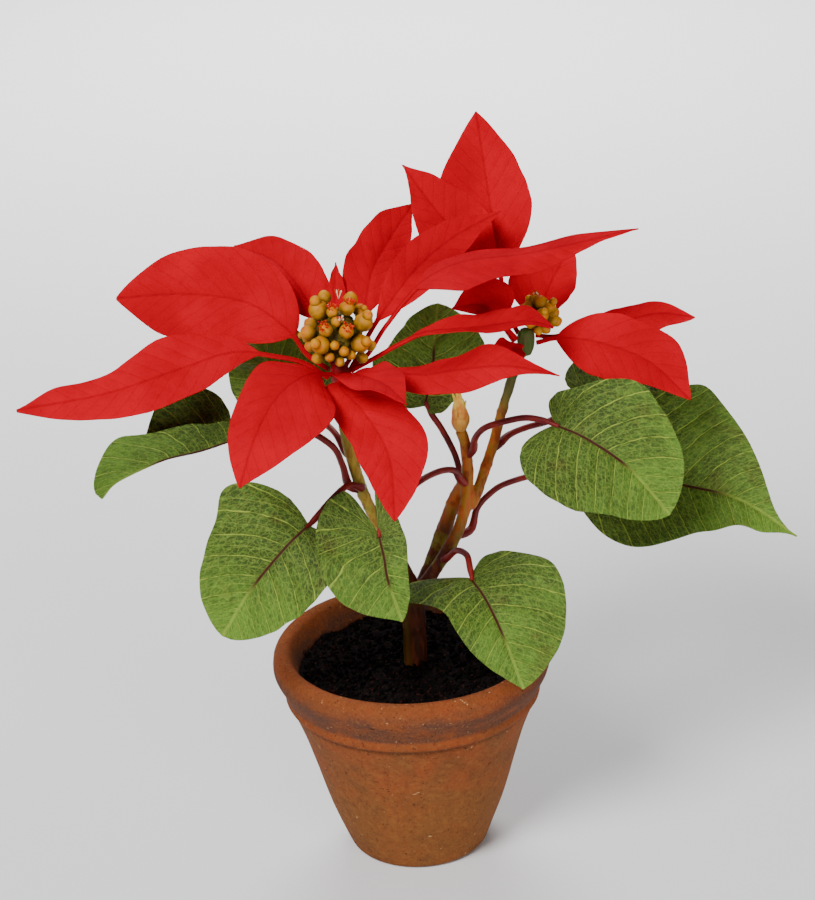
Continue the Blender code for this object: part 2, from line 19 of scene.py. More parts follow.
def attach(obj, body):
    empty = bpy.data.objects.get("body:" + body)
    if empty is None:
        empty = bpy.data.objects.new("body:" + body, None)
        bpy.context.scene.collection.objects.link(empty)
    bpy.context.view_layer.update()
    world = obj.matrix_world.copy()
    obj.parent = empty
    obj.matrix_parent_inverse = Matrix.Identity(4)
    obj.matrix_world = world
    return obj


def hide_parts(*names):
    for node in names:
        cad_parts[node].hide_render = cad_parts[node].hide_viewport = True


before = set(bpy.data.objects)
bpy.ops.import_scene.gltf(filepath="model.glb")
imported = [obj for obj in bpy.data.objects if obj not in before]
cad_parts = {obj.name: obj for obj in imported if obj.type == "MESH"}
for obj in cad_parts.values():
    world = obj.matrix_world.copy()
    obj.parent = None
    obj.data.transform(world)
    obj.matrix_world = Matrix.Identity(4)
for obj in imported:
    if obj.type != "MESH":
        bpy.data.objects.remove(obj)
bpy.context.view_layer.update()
MM = 0.001
print("solid parts", len(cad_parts))

# %% [markdown]
# ## Small tools
# A new primitive comes in selected, and an operator works on everything that is selected, so each piece
# starts with an empty selection. A finished piece keeps its place in its mesh and its object at the origin,
# because a pattern that is laid in the object's own coordinates would slide with a moved object. Shells and
# closed tubes get their faces turned outwards at the end, because an extrusion can leave them inside out.

# %% Start, finish and register a piece
def start():
    """Leave nothing selected, so that the next primitive is alone."""
    if bpy.context.object and bpy.context.object.mode != "OBJECT":
        bpy.ops.object.mode_set(mode="OBJECT")
    bpy.ops.object.select_all(action="DESELECT")


def take(name):
    """Name the object that an operator has just made."""
    piece = bpy.context.object
    piece.name = name
    piece.data.name = name
    return piece


def apply_modifier(piece, kind, **settings):
    """Add a modifier to the piece and apply it."""
    bpy.context.view_layer.objects.active = piece
    bpy.ops.object.modifier_add(type=kind)
    modifier = piece.modifiers[-1]
    for name, value in settings.items():
        setattr(modifier, name, value)
    bpy.ops.object.modifier_apply(modifier=modifier.name)


def edit(action):
    """Go into edit mode with everything selected or nothing."""
    bpy.ops.object.mode_set(mode="EDIT")
    bpy.ops.mesh.select_all(action=action)


def turn_faces_out():
    """Turn every face outwards and leave edit mode."""
    bpy.ops.mesh.select_all(action="SELECT")
    bpy.ops.mesh.normals_make_consistent(inside=False)
    bpy.ops.object.mode_set(mode="OBJECT")


def join(pieces, name):
    """Make one piece of several."""
    start()
    for piece in pieces:
        piece.select_set(True)
    bpy.context.view_layer.objects.active = pieces[0]
    bpy.ops.object.join()
    return take(name)


def settle(piece):
    """Put the piece's place into its mesh and leave its object at the origin."""
    piece.data.transform(piece.matrix_world)
    piece.matrix_world = Matrix.Identity(4)


def register(piece, node, slot, *finishes):
    """Stand the piece in for a solid part, with its finishes. The slot is not used."""
    for finish in finishes:
        piece.data.materials.append(finish)
    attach(piece, "root")
    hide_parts(node)


def smooth_faces(piece, degrees=60):
    start()
    piece.select_set(True)
    bpy.context.view_layer.objects.active = piece
    bpy.ops.object.shade_smooth_by_angle(angle=math.radians(degrees))


# %% [markdown]
# ## Colours and nodes
# Screens store colours as sRGB, and the shader adds light in linear values, so one function turns a hex
# colour into a linear one. One more function adds a node, sets it and links it, and each finish is then a
# short list of such calls. A Mix node that mixes colours takes them at inputs 6 and 7 and gives its result
# at output 2.

# %% Turn a hex colour to linear, and add one node
def linear(hex_colour):
    shades = [int(hex_colour[place:place + 2], 16) / 255 for place in (1, 3, 5)]
    return (*[s / 12.92 if s <= 0.04045 else ((s + 0.055) / 1.055) ** 2.4 for s in shades], 1)


def add_node(tree, kind, inputs=(), output=0, **settings):
    """Add a node, set it, give its inputs values or links, in order or by name, and return one output."""
    made = tree.nodes.new("ShaderNode" + kind)
    for name, value in settings.items():
        setattr(made, name, value)
    for name, value in inputs.items() if isinstance(inputs, dict) else enumerate(inputs):
        if isinstance(value, bpy.types.NodeSocket):
            tree.links.new(value, made.inputs[name])
        else:
            made.inputs[name].default_value = value
    return made.outputs[output]


COLOUR = {"data_type": "RGBA"}
SOFT = {"interpolation_type": "SMOOTHSTEP"}
TIMES = {"operation": "MULTIPLY"}
TIMES_PLUS = {"operation": "MULTIPLY_ADD"}
print("white is", linear("#ffffff")[:3])

# %% [markdown]
# ### Patches, layers and the shader
# Most stains are patches: a noise whose lumps have a real size, cut softly at two levels. Layers of colour
# go one over another, each where its mask is 1. The same noise that colours a surface also moves its
# roughness and its relief, so that nothing on it is quite even.

# %% Start a finish, make patches, lay the layers and set the shader
def new_finish(name):
    """A material, the function that adds to its tree, and the object's own coordinates."""
    finish = bpy.data.materials.new(name)
    finish.use_nodes = True
    add = partial(add_node, finish.node_tree)
    return finish, add, add("TexCoord", output="Object")


def patches(add, place, size, low, high, detail=3):
    """Patches of a size in millimetres: 0 where the noise is under low, and 1 where it is over high."""
    lumps = add("TexNoise", {"Vector": place, "Scale": 1 / (size * MM), "Detail": detail})
    return add("MapRange", (lumps, low, high), **SOFT)


def layers(add, place, base, *over):
    """Lay colours over a first one, each with a mask, or the measures of its patches, and its strength."""
    colour = linear(base)
    for mask, strength, shade in over:
        if isinstance(mask, tuple):
            mask = patches(add, place, *mask)
        share = add("Math", (mask, strength), **TIMES)
        colour = add("Mix", {0: share, 6: colour, 7: linear(shade)}, 2, **COLOUR)
    return colour


def dress(finish, add, place, colour, grain, roughness, lift_mm, specular, raised=None):
    """Link colour, roughness and relief to the finish's shader, and return the finish.

    The grain, a mask or the size and detail of a noise, moves the roughness between two values and raises
    the surface. Raised is one more mask and how much of it is added to the relief.
    """
    if isinstance(grain, tuple):
        size, detail = grain
        grain = add("TexNoise", {"Vector": place, "Scale": 1 / (size * MM), "Detail": detail})
    height = add("Math", (*raised, grain), **TIMES_PLUS) if raised else grain
    shader = finish.node_tree.nodes["Principled BSDF"]
    rough = add("MapRange", {0: grain, 3: roughness[0], 4: roughness[1]})
    relief = add("Bump", {"Strength": 1.0, "Distance": lift_mm * MM, "Height": height})
    for name, socket in (("Base Color", colour), ("Roughness", rough), ("Normal", relief)):
        finish.node_tree.links.new(socket, shader.inputs[name])
    shader.inputs["Specular IOR Level"].default_value = specular
    print("mixed", finish.name)
    return finish


print("finish helpers", [helper.__name__ for helper in (new_finish, patches, layers, dress)])

# %% [markdown]
# ## The camera and the light
# The photograph was taken from a little above, with a long lens. The camera's place comes from the pot: the
# ellipses of its rim and foot give the height and the distance, and its upright axis gives the slight roll.
# One large soft lamp stands at the front left, as the photograph's shadow falls to the right of the pot and
# behind it, a low one at the front right fills the near side, one lights the paper far behind, and the pale
# surroundings add a little.

# %% Place the camera
CAMERA_PLACE = (2.6, -974.7, 615.2)
CAMERA_PITCH = 23.41
CAMERA_ROLL = -2.67
CAMERA_LENS = 98
CAMERA_SENSOR = 36
camera_data = bpy.data.cameras.new("camera")
camera_data.lens = CAMERA_LENS
camera_data.sensor_width = CAMERA_SENSOR
camera = bpy.data.objects.new("camera", camera_data)
bpy.context.scene.collection.objects.link(camera)
camera.location = Vector(CAMERA_PLACE) * MM
camera.rotation_euler = (Matrix.Rotation(math.radians(90 - CAMERA_PITCH), 3, "X")
                         @ Matrix.Rotation(math.radians(CAMERA_ROLL), 3, "Z")).to_euler()
bpy.context.scene.camera = camera
print("camera at", CAMERA_PLACE, "mm")

# %% Add the floor
FLOOR_SIDE_M = 12


def paper_finish():
    finish, add, place = new_finish("matt_pale_paper")
    clouds = patches(add, place, 900, 0.3, 0.7)
    tooth = patches(add, place, 3, 0.3, 0.7)
    paper = layers(add, place, "#e6e6e7", (clouds, 1.0, "#eaeaea"))
    return dress(finish, add, place, paper, clouds, (0.85, 0.95), 0.02, 0.2, (tooth, 1.0))


start()
bpy.ops.mesh.primitive_plane_add(size=FLOOR_SIDE_M)
floor = take("studio_floor")
floor.data.materials.append(paper_finish())
print("floor side in m", FLOOR_SIDE_M)

# %% Add the lamps and the pale surroundings
LAMPS = (
    # name, place, where it looks, size, power in watts, spread in degrees
    ("key_lamp", (-0.95, -1.5, 1.9), (0, 0, 0.15), 1.0, 82, 180),
    ("low_fill_lamp", (1.3, -2.1, 0.5), (0, 0, 0.1), 1.2, 34, 180),
    ("backdrop_lamp", (0, 1.7, 1.6), (0, 1.5, 0), 1.4, 36, 110),
)
for name, lamp_place, target, size, power, spread in LAMPS:
    lamp_data = bpy.data.lights.new(name, "AREA")
    lamp_data.shape = "DISK"
    lamp_data.size = size
    lamp_data.energy = power
    lamp_data.spread = math.radians(spread)
    lamp = bpy.data.objects.new(name, lamp_data)
    bpy.context.scene.collection.objects.link(lamp)
    lamp.location = lamp_place
    lamp.rotation_euler = (Vector(target) - lamp.location).to_track_quat("-Z", "Y").to_euler()
world = bpy.data.worlds.new("pale_surroundings")
world.use_nodes = True
background = world.node_tree.nodes["Background"]
background.inputs["Color"].default_value = linear("#e6e8ea")
background.inputs["Strength"].default_value = 0.17
bpy.context.scene.world = world
print("lamps", [lamp[0] for lamp in LAMPS])

# %% [markdown]
# ## Fired clay
# Terracotta is unglazed clay, thrown or pressed and fired at about 1000 degrees. It is porous and matt, so
# salts and grime from watering stain it. Under the rim this pot has a grey-purple bloom, the body is a
# duller orange-brown, and small pale and dark grits show all over. Each stain is its own noise with its own
# size in millimetres. The dark line in the groove under the roll, which fades out below it, is painted shade.

# %% Mix the terracotta
def terracotta_finish():
    finish, add, place = new_finish("fired_terracotta")
    height = add("SeparateXYZ", (place,), "Z")
    flat = add("Mapping", {"Vector": place, "Scale": (1, 1, 2.4)})
    low_part = add("MapRange", (height, 66 * MM, 30 * MM), **SOFT)
    band = add("MapRange", (height, 79 * MM, 81.5 * MM), **SOFT)
    below_rim = add("MapRange", (height, 98 * MM, 90 * MM), **SOFT)
    bloom = add("Math", (band, below_rim), **TIMES)
    roll = add("MapRange", (height, 75.4 * MM, 76.6 * MM), **SOFT)
    # Painted shade: a dark line in the groove under the roll, fading out below it.
    groove_shade_top = add("MapRange", (height, 76.4 * MM, 75.2 * MM), **SOFT)
    groove_shade_foot = add("MapRange", (height, 71.5 * MM, 74.6 * MM), **SOFT)
    groove = add("Math", (groove_shade_top, groove_shade_foot), **TIMES)
    grime = add("Math", (bloom, patches(add, flat, 13, 0.22, 0.6, 5)), **TIMES)
    clay = layers(
        add, place, "#7d3f1f",
        ((17, 0.36, 0.64, 4), 1.0, "#6f4122"),
        (low_part, 0.6, "#744822"),
        ((7, 0.48, 0.68, 5), 0.35, "#4f321c"),
        ((3.2, 0.5, 0.7, 4), 0.3, "#8c5a2c"),
        (roll, 0.5, "#7c3a1a"),
        (grime, 0.85, "#4c3228"),
        (groove, 0.6, "#40200f"),
        ((2, 0.5, 0.68, 5), 0.35, "#44291c"),
        ((1, 0.5, 0.7, 3), 0.35, "#8b5a30"),
        ((1.1, 0.6, 0.72, 3), 0.6, "#30190f"),
        ((2.6, 0.31, 0.25, 2), 0.8, "#241812"),
        ((2.1, 0.69, 0.75, 3), 0.75, "#b08d64"),
    )
    pores = add("TexVoronoi", {"Vector": place, "Scale": 1 / (1.3 * MM)}, "Distance")
    return dress(finish, add, place, clay, (1.1, 4), (0.75, 0.95), 0.25, 0.12, (pores, 0.5))


terracotta = terracotta_finish()

# %% [markdown]
# ## The pot
# A potter raises the wall from a disc. The same can be done here: a circle is filled for the foot, and its
# edge is extruded ring after ring to each height, and scaled to that ring's radius, up the outside, over
# the rim and down the inside. A spun profile would give the same shape, and extruding keeps each ring easy
# to move. The rings sit close together at the rim, so that subdivision rounds it and leaves the roll below
# it crisp.

# %% Raise the pot ring by ring
POT_SIDES = 96
POT_RINGS = (
    # radius, height: up the wall
    (29, 0), (31.2, 0.6), (32.2, 2.4), (34.6, 9), (38, 18), (41.4, 28), (45.5, 43), (48, 52), (50.2, 60),
    (52.8, 67), (54.5, 71.4),
    # the roll
    (55.4, 74), (55.6, 74.8), (56.6, 75.2), (57.5, 76.3), (57.8, 77.8), (57.5, 79.2), (57.5, 80),
    # the band and over the rim
    (58.2, 81.8), (59.2, 84), (60.6, 86.6), (61.9, 89), (62.5, 91.4), (62.3, 94.5), (61.4, 97.4),
    (59.8, 99.3), (57.6, 100), (55.6, 99.2), (54.4, 97.6), (53.6, 95),
    # down the inside
    (52.3, 91), (50.6, 86), (46, 70), (38, 43), (28, 10), (26, 8),
)


def raise_ring(radius, height, last_radius, last_height):
    """Extrude the open edge to a ring's height, and scale it to its radius."""
    rise = (0, 0, (height - last_height) * MM)
    bpy.ops.mesh.extrude_region_move(TRANSFORM_OT_translate={"value": rise})
    scale = radius / last_radius
    bpy.ops.transform.resize(value=(scale, scale, 1), center_override=(0, 0, 0))


start()
bpy.ops.mesh.primitive_circle_add(vertices=POT_SIDES, radius=POT_RINGS[0][0] * MM)
pot = take("pot_thrown_clay")
edit("SELECT")
for last, ring in zip(POT_RINGS, POT_RINGS[1:]):
    raise_ring(*ring, *last)
bpy.ops.mesh.edge_face_add()
bpy.ops.mesh.select_all(action="DESELECT")
bpy.ops.mesh.select_non_manifold()
bpy.ops.mesh.edge_face_add()
turn_faces_out()
apply_modifier(pot, "SUBSURF", levels=1, render_levels=1)
print("rings raised", len(POT_RINGS))

# %% Leave the maker's small unevenness in the wall
SWELL = 0.35
SWELL_SIZE = 26
THROWING_RING = 0.12
THROWING_RING_STEP = 1.7
for vert in pot.data.vertices:
    spot = vert.co / MM
    rings = THROWING_RING * noise.noise(Vector((0, 0, spot.z / THROWING_RING_STEP)))
    outward = Vector((spot.x, spot.y, 0)).normalized()
    if spot.z > 1 and spot.xy.length > 30:
        vert.co += outward * (SWELL * noise.noise(spot / SWELL_SIZE) + rings) * MM
smooth_faces(pot)
register(pot, "terracotta_pot", "terracotta", terracotta)
print("pot faces", len(pot.data.polygons))

# %% [markdown]
# ## Potting soil
# Potting compost is peat and fine bark: nearly black when it is damp, with red-brown fibres and crumbs of
# one to four millimetres. The bed is a filled disc that is subdivided and roughened, and its edge is drawn
# down inside the pot. Loose crumbs lie on it. One crumb has only twenty faces, since there are many
# hundreds of copies.

# %% Mix the compost
def soil_finish():
    finish, add, place = new_finish("damp_peat_compost")
    brown = layers(add, place, "#070505", ((2.4, 0.4, 0.65, 4), 1.0, "#150d0b"),
                   ((1.7, 0.6, 0.7, 2), 0.7, "#41201b"))
    grain = add("TexNoise", {"Vector": place, "Scale": 1 / (0.9 * MM), "Detail": 5, "Roughness": 0.7})
    return dress(finish, add, place, brown, grain, (0.75, 1.0), 0.5, 0.05)


compost = soil_finish()

# %% Lay the soil bed
SOIL_RADIUS = 50.6
SOIL_TOP = 88
SOIL_MOUND = 2
SOIL_FLOOR = 9
SOIL_FLOOR_SHARE = 0.54
SOIL_CELLS = 96
# height and size of the lumps, from the widest to the finest
SOIL_LUMPS = ((1.6, 13), (1.1, 4.5), (0.6, 1.9))


def soil_height(x, y):
    """The bed's top: a low mound with lumps of a few sizes."""
    spot = Vector((x, y, 0))
    mound = SOIL_MOUND * (1 - (spot.length / SOIL_RADIUS) ** 2)
    return SOIL_TOP + mound + sum(rise * noise.noise(spot / size) for rise, size in SOIL_LUMPS)


start()
bpy.ops.mesh.primitive_grid_add(x_subdivisions=SOIL_CELLS, y_subdivisions=SOIL_CELLS, size=2)
soil = take("soil_bed")
for vert in soil.data.vertices:
    x, y = vert.co.x, vert.co.y
    reach = max(abs(x), abs(y))
    flat = Vector((x, y)).normalized() * reach * SOIL_RADIUS if reach else Vector((0, 0))
    vert.co = Vector((flat.x, flat.y, soil_height(flat.x, flat.y))) * MM
edit("DESELECT")
bpy.ops.mesh.select_non_manifold()
bpy.ops.mesh.extrude_region_move()
for scale in ((1, 1, 0), (SOIL_FLOOR_SHARE, SOIL_FLOOR_SHARE, 1)):
    bpy.ops.transform.resize(value=scale, center_override=(0, 0, SOIL_FLOOR * MM))
bpy.ops.mesh.edge_face_add()
turn_faces_out()
print("soil bed faces", len(soil.data.polygons))

# %% Scatter the crumbs
CRUMB_COUNT = 1500
CRUMB_SIZES = (0.6, 0.8, 0.9, 1.2, 1.7)
CRUMB_REACH = 0.975
draw = random.Random(7)
start()
bpy.ops.mesh.primitive_ico_sphere_add(subdivisions=1, radius=1)
crumb = take("crumb")
crowd = bmesh.new()
for index in range(CRUMB_COUNT):
    reach = SOIL_RADIUS * math.sqrt(draw.random()) * CRUMB_REACH
    turn = draw.uniform(0, math.tau)
    x, y = reach * math.cos(turn), reach * math.sin(turn)
    size = draw.choice(CRUMB_SIZES)
    before = len(crowd.verts)
    crowd.from_mesh(crumb.data)
    crowd.verts.ensure_lookup_table()
    spin = Matrix.Rotation(draw.uniform(0, math.tau), 3, Vector((draw.random(), draw.random(), 0.3)))
    shape = Vector([size * draw.uniform(*share) for share in ((0.7, 1.5), (0.6, 1), (0.4, 0.9))])
    for vert in crowd.verts[before:]:
        local = Vector(a * b * draw.uniform(0.75, 1.2) for a, b in zip(vert.co, shape))
        vert.co = (spin @ local + Vector((x, y, soil_height(x, y) + 0.3 * size))) * MM
crowd.to_mesh(crumb.data)
crowd.free()
soil = join([soil, crumb], "soil_bed")
smooth_faces(soil, 35)
register(soil, "potting_soil", "soil", compost)
print("soil faces with crumbs", len(soil.data.polygons))

# %% [markdown]
# ## One blade for every leaf and bract
# A leaf and a bract are the same organ: a thin blade on each side of a midrib. One description serves for
# both: the places that the midrib runs through, which way the upper face looks at the foot and at the tip,
# how wide each half is, and how it folds and waves. A flat grid is then laid along the midrib, row by row.
# Modelling each blade by hand would also work, but 28 blades would take long, and the outlines would be
# hard to correct later.

# %% Describe a blade
class Blade(NamedTuple):
    """Pairs are for the left and the right half, as seen by someone who looks from the foot to the tip.

    A bump is the half that it is on, its place along the blade, its reach and its spread.
    """
    name: str
    midrib: tuple
    faces: tuple
    halves: tuple
    fold: int = 8
    curl: int = 0
    ripple: float = 1.0
    stalk: float = 0.16
    peak: float = 0.45
    taper: tuple = (1.1, 1.1)
    base: float = 0.9
    lobe: int = 0
    foot: float = 0.4
    bumps: tuple = ()
    tier: int = 0


# %% List the bracts of the left bloom
LEFT_CROWN = (-24, -30, 241)
LEFT_BRACTS = (
    Blade("bract_left_far", ((-38, -34, 249), (-49, -38, 254), (-67, -44, 259), (-88, -52, 256),
                             (-118, -60, 250), (-153, -66, 247)),
          ((0, -3, 4), (0, -6, 4)), (14, 15), stalk=0.24, peak=0.4, taper=(1.0, 1.4),
          bumps=((0, 0.85, 1.5, 0.2), (1, 0.6, -4, 0.18), (1, 0.86, 2.5, 0.1))),
    Blade("bract_left_upper", ((-37, -25, 249), (-45, -20, 259), (-62, -12, 269), (-88, -4, 271),
                               (-117, 0, 269)),
          ((-2, -8, 4), (0, -8, 4)), (20, 21), stalk=0.2, peak=0.4, taper=(0.9, 0.8), base=0.6,
          bumps=((0, 0.78, 5, 0.16), (1, 0.7, 1, 0.2)), tier=1),
    Blade("bract_left_back", ((-29, -17, 249), (-34, -8, 262), (-49, 18, 275), (-69, 44, 275)),
          ((-1, -3, 4), (0, -4, 5)), (15, 14), stalk=0.25, taper=(0.9, 0.9),
          bumps=((1, 0.15, 3, 0.12), (1, 0.55, -1.5, 0.15))),
    Blade("bract_left_small", ((-24, -16, 249), (-25, -11, 259), (-25, -4, 268), (-24, 4, 279)),
          ((0, -6, 3), (0, -6, 3)), (3, 5), stalk=0.4, tier=2),
    Blade("bract_left_upright", ((-17, -18, 249), (-13, -10, 260), (-9, 8, 273), (0, 24, 283),
                                 (10, 36, 293)),
          ((-1, -6, 5), (2, -6, 4)), (13, 13), stalk=0.28, taper=(0.9, 1.1),
          bumps=((0, 0.15, 2, 0.12), (0, 0.5, -1, 0.12), (0, 0.8, 2, 0.12)), tier=1),
    Blade("bract_left_diagonal", ((-15, -21, 248), (-8, -14, 258), (8, 0, 274), (25, 10, 285),
                                  (47, 20, 293)),
          ((3, -5, 6), (2, -6, 6)), (10, 11), stalk=0.25),
    Blade("bract_left_long", ((-12, -26, 249), (-4, -23, 260), (11, -20, 276), (29, -14, 283), (58, -6, 283),
                              (104, 6, 287)),
          ((0, 1, 5), (0, -3, 5)), (11, 14), fold=-16, stalk=0.3, peak=0.18, taper=(0.8, 1.5),
          bumps=((1, 0.12, 4, 0.12),), tier=1),
    Blade("bract_left_level", ((-10, -32, 249), (2, -34, 256), (14, -30, 259), (33, -25, 258), (54, -18, 257),
                               (66, -14, 252)),
          ((0, -1, 6), (2, -2, 6)), (8, 5), stalk=0.3, peak=0.55, taper=(0.6, 0.6),
          bumps=((0, 0.86, 3, 0.1),), tier=1),
    Blade("bract_left_folded", ((-12, -39, 247), (9, -50, 248), (23, -52, 250), (44, -50, 250),
                                (66, -46, 243)),
          ((0, -1, 6), (1, -6, 4)), (8, 10), fold=-18, stalk=0.12, peak=0.42, taper=(0.9, 1.8),
          bumps=((0, 0.65, 6, 0.12),)),
    Blade("bract_left_front_wide", ((-38, -46, 248), (-49, -60, 245), (-58, -74, 234), (-65, -83, 216)),
          ((-1, -4, 6), (-2, -9, 3)), (24, 13), stalk=0.1, peak=0.5, taper=(1.05, 0.8),
          base=0.7, bumps=((0, 0.35, 4, 0.2), (1, 0.25, 4, 0.15)), tier=1),
    Blade("bract_left_front_low", ((-23, -48, 242), (-14, -60, 236), (-5, -69, 220), (-4, -74, 194)),
          ((0, -4, 6), (1, -9, 2)), (15, 13), stalk=0.06, peak=0.5, taper=(0.8, 0.9),
          base=0.5, bumps=((0, 0.6, 3, 0.1), (1, 0.45, -1, 0.1))),
    Blade("bract_left_front_short", ((-16, -52, 250), (-5, -67, 251), (3, -79, 247)),
          ((1, -2, 6), (2, -4, 6)), (12, 12), stalk=0.1, base=0.6, tier=1),
)

# %% List the bracts of the right bloom
RIGHT_CROWN = (56, 15, 235)
RIGHT_BRACTS = (
    Blade("bract_right_top", ((49, 24, 245), (47, 28, 255), (46, 34, 270), (43, 46, 292), (39, 56, 327)),
          ((0, -7, 3), (0, -8, 3)), (21, 18), stalk=0.28, peak=0.42, taper=(0.9, 0.9),
          bumps=((0, 0.62, 2, 0.15),), tier=1),
    Blade("bract_right_upper", ((45, 17, 245), (40, 19, 258), (31, 25, 277), (18, 33, 293), (6, 41, 309)),
          ((0, -7, 5), (0, -7, 4)), (14, 16), stalk=0.3, taper=(1.6, 1.3),
          bumps=((1, 0.85, 2, 0.12),)),
    Blade("bract_right_back", ((62, 28, 241), (69, 40, 253), (80, 54, 266)),
          ((0, -6, 4), (0, -6, 5)), (14, 11), stalk=0.2, bumps=((0, 0.22, 6, 0.22),)),
    Blade("bract_right_low", ((70, 10, 238), (87, 2, 238), (107, -8, 232), (123, -18, 218)),
          ((0, -6, 4), (3, -6, 3)), (14, 16), stalk=0.12, peak=0.4, taper=(0.7, 1.0), base=0.7,
          bumps=((0, 0.7, 3, 0.15),)),
    Blade("bract_right_far", ((70, 18, 236), (93, 22, 238), (113, 24, 242), (130, 22, 240)),
          ((0, -3, 5), (0, -4, 5)), (7, 12), stalk=0.2, taper=(0.8, 0.8), tier=1),
    Blade("bract_right_short", ((46, 8, 246), (40, 0, 257), (33, -6, 261), (24, -10, 261)),
          ((-1, -6, 5), (-1, -6, 5)), (9, 13), stalk=0.2, tier=1),
    Blade("bract_right_under", ((52, 6, 237), (47, -2, 237), (41, -10, 234)),
          ((0, -4, 5), (0, -6, 4)), (7, 7), stalk=0.15),
)

# %% List the leaves
leaf_blade = partial(Blade, stalk=0, taper=(0.65, 0.65))
LEAVES = (
    leaf_blade("leaf_far_left", ((-71, -42, 220), (-83, -46, 218), (-99, -50, 216), (-117, -54, 209),
                                 (-124, -56, 202)),
          ((0, 0, 6), (0, 0, 6)), (16, 28), fold=62, peak=0.3, taper=(0.4, 2.6), lobe=4,
          bumps=((0, 0.68, 10, 0.18), (1, 0.6, -8, 0.2))),
    leaf_blade("leaf_left_back", ((-37, 2, 212), (-47, 16, 217), (-59, 30, 229), (-67, 42, 235)),
          ((0, -5, 5), (0, -6, 4)), (22, 22), lobe=5),
    leaf_blade("leaf_middle_back", ((11, 16, 207), (15, 24, 220), (17, 34, 233), (19, 44, 244)),
          ((0, -6, 4), (0, -6, 4)), (18, 24), lobe=3,
          bumps=((0, 0.3, 9, 0.22), (1, 0.15, -8, 0.25))),
    leaf_blade("leaf_low_left", ((-40, -48, 182), (-50, -54, 175), (-66, -57, 157), (-79, -56, 136)),
          ((-1, -6, 4), (-1, -8, 2)), (25, 29), peak=0.28, taper=(0.55, 0.65), lobe=2, foot=0.45,
          bumps=((1, 0.2, 7, 0.13),)),
    leaf_blade("leaf_low_middle", ((-11, -56, 180), (-9, -62, 171), (-8, -65, 163), (-3, -64, 143)),
          ((0, -8, 3), (0, -8, 2)), (10, 27), peak=0.28, taper=(0.7, 1.0), lobe=21),
    leaf_blade("leaf_low_right", ((27, -34, 147), (33, -46, 142), (40, -56, 128), (47, -60, 106)),
          ((1, -5, 6), (1, -7, 4)), (33, 19), peak=0.32, taper=(0.65, 1.0), lobe=7,
          bumps=((0, 0.1, -3, 0.12), (1, 0.05, 20, 0.13))),
    leaf_blade("leaf_right", ((65, -26, 213), (78, -34, 209), (95, -42, 198), (111, -46, 178)),
          ((0, -7, 6), (1, -8, 4)), (32, 27), peak=0.35, lobe=7, foot=0.5,
          bumps=((0, 0.65, -3, 0.2), (0, 0.08, -9, 0.16), (1, 0.12, 4, 0.15), (1, 0.4, 4, 0.2))),
    leaf_blade("leaf_far_right", ((89, 20, 171), (123, 10, 166), (148, 2, 161), (172, -4, 145)),
          ((0, -7, 5), (0, -6, 5)), (39, 31), peak=0.32, taper=(1.9, 2.0), lobe=8,
          bumps=((0, 0.45, 8, 0.16), (0, 0.8, -2, 0.1), (1, 0.2, 3, 0.15), (1, 0.5, -4, 0.12),
                 (1, 0.85, 4, 0.1))),
    leaf_blade("leaf_right_back", ((84, 44, 198), (98, 52, 201), (117, 60, 200), (132, 66, 192)),
          ((0, -3, 6), (0, -3, 6)), (20, 18), lobe=5),
)
print("bracts", len(LEFT_BRACTS) + len(RIGHT_BRACTS), "leaves", len(LEAVES))

# %% Run a smooth curve through a few places
TICKS = 24


def smooth_path(points, steps):
    """Even steps along one smooth curve through the points."""
    knots = [Vector(point) for point in points]
    knots = [2 * knots[0] - knots[1]] + knots + [2 * knots[-1] - knots[-2]]
    dense = []
    for before, start_knot, end, after in zip(knots, knots[1:], knots[2:], knots[3:]):
        for tick in range(TICKS):
            t = tick / TICKS
            dense.append(0.5 * (2 * start_knot + (end - before) * t
                                + (2 * before - 5 * start_knot + 4 * end - after) * t * t
                                + (3 * start_knot - before - 3 * end + after) * t * t * t))
    dense.append(knots[-2])
    reach = [0.0]
    for one, other in zip(dense, dense[1:]):
        reach.append(reach[-1] + (other - one).length)
    path = []
    leg = 0
    for step in range(steps + 1):
        goal = reach[-1] * step / steps
        while leg < len(reach) - 2 and reach[leg + 1] < goal:
            leg += 1
        share = (goal - reach[leg]) / (reach[leg + 1] - reach[leg])
        path.append(dense[leg].lerp(dense[leg + 1], min(max(share, 0), 1)))
    return path


def path_length(path):
    return sum((other - one).length for one, other in zip(path, path[1:]))


print("longest leaf in mm", round(max(path_length(smooth_path(leaf.midrib, TICKS)) for leaf in LEAVES)))

# %% [markdown]
# ### How the veins run
# Side veins leave the midrib in turn on the left and the right, lean towards the tip and curve up more near
# the edge. At the foot of a heart-shaped leaf they fan out backwards into the lobes. Each point of the
# blade gets a vein number from its place: at whole numbers a vein runs, and at halves the blade puffs up
# between two veins. The same number shapes the mesh and, kept as a UV map, paints the veins in the finish,
# so the two always agree.

# %% Number the veins
class Venation(NamedTuple):
    """Lengths in millimetres, except that lean and growth are shares. Puff and groove are heights."""
    spacing: float
    lean: float
    growth: float
    curve: float
    puff: float
    groove: float
    margin: float


LEAF_VEINS = Venation(spacing=8.5, lean=0.1, growth=0.9, curve=0.011, puff=0.75, groove=0.7, margin=0.7)
BRACT_VEINS = Venation(spacing=7.5, lean=0.75, growth=0.7, curve=0.012, puff=0.32, groove=0.5, margin=0.55)
FAN_STEP = 0.42
HALF_SHIFT = 0.45


def vein_number(veins, length, run, out, half):
    """The vein number of a point at a run along the midrib and a distance out from it, in millimetres."""
    source = (run - veins.lean * out - veins.curve * out * out) / (1 + out * veins.growth / length)
    shift = HALF_SHIFT * half
    if source >= 0:
        return source / veins.spacing + shift
    turn = math.atan2(out, run - veins.curve * out * out) - math.atan2(1, veins.lean)
    return shift - turn / FAN_STEP


print("vein spacing in mm, leaf and bract", LEAF_VEINS.spacing, BRACT_VEINS.spacing)

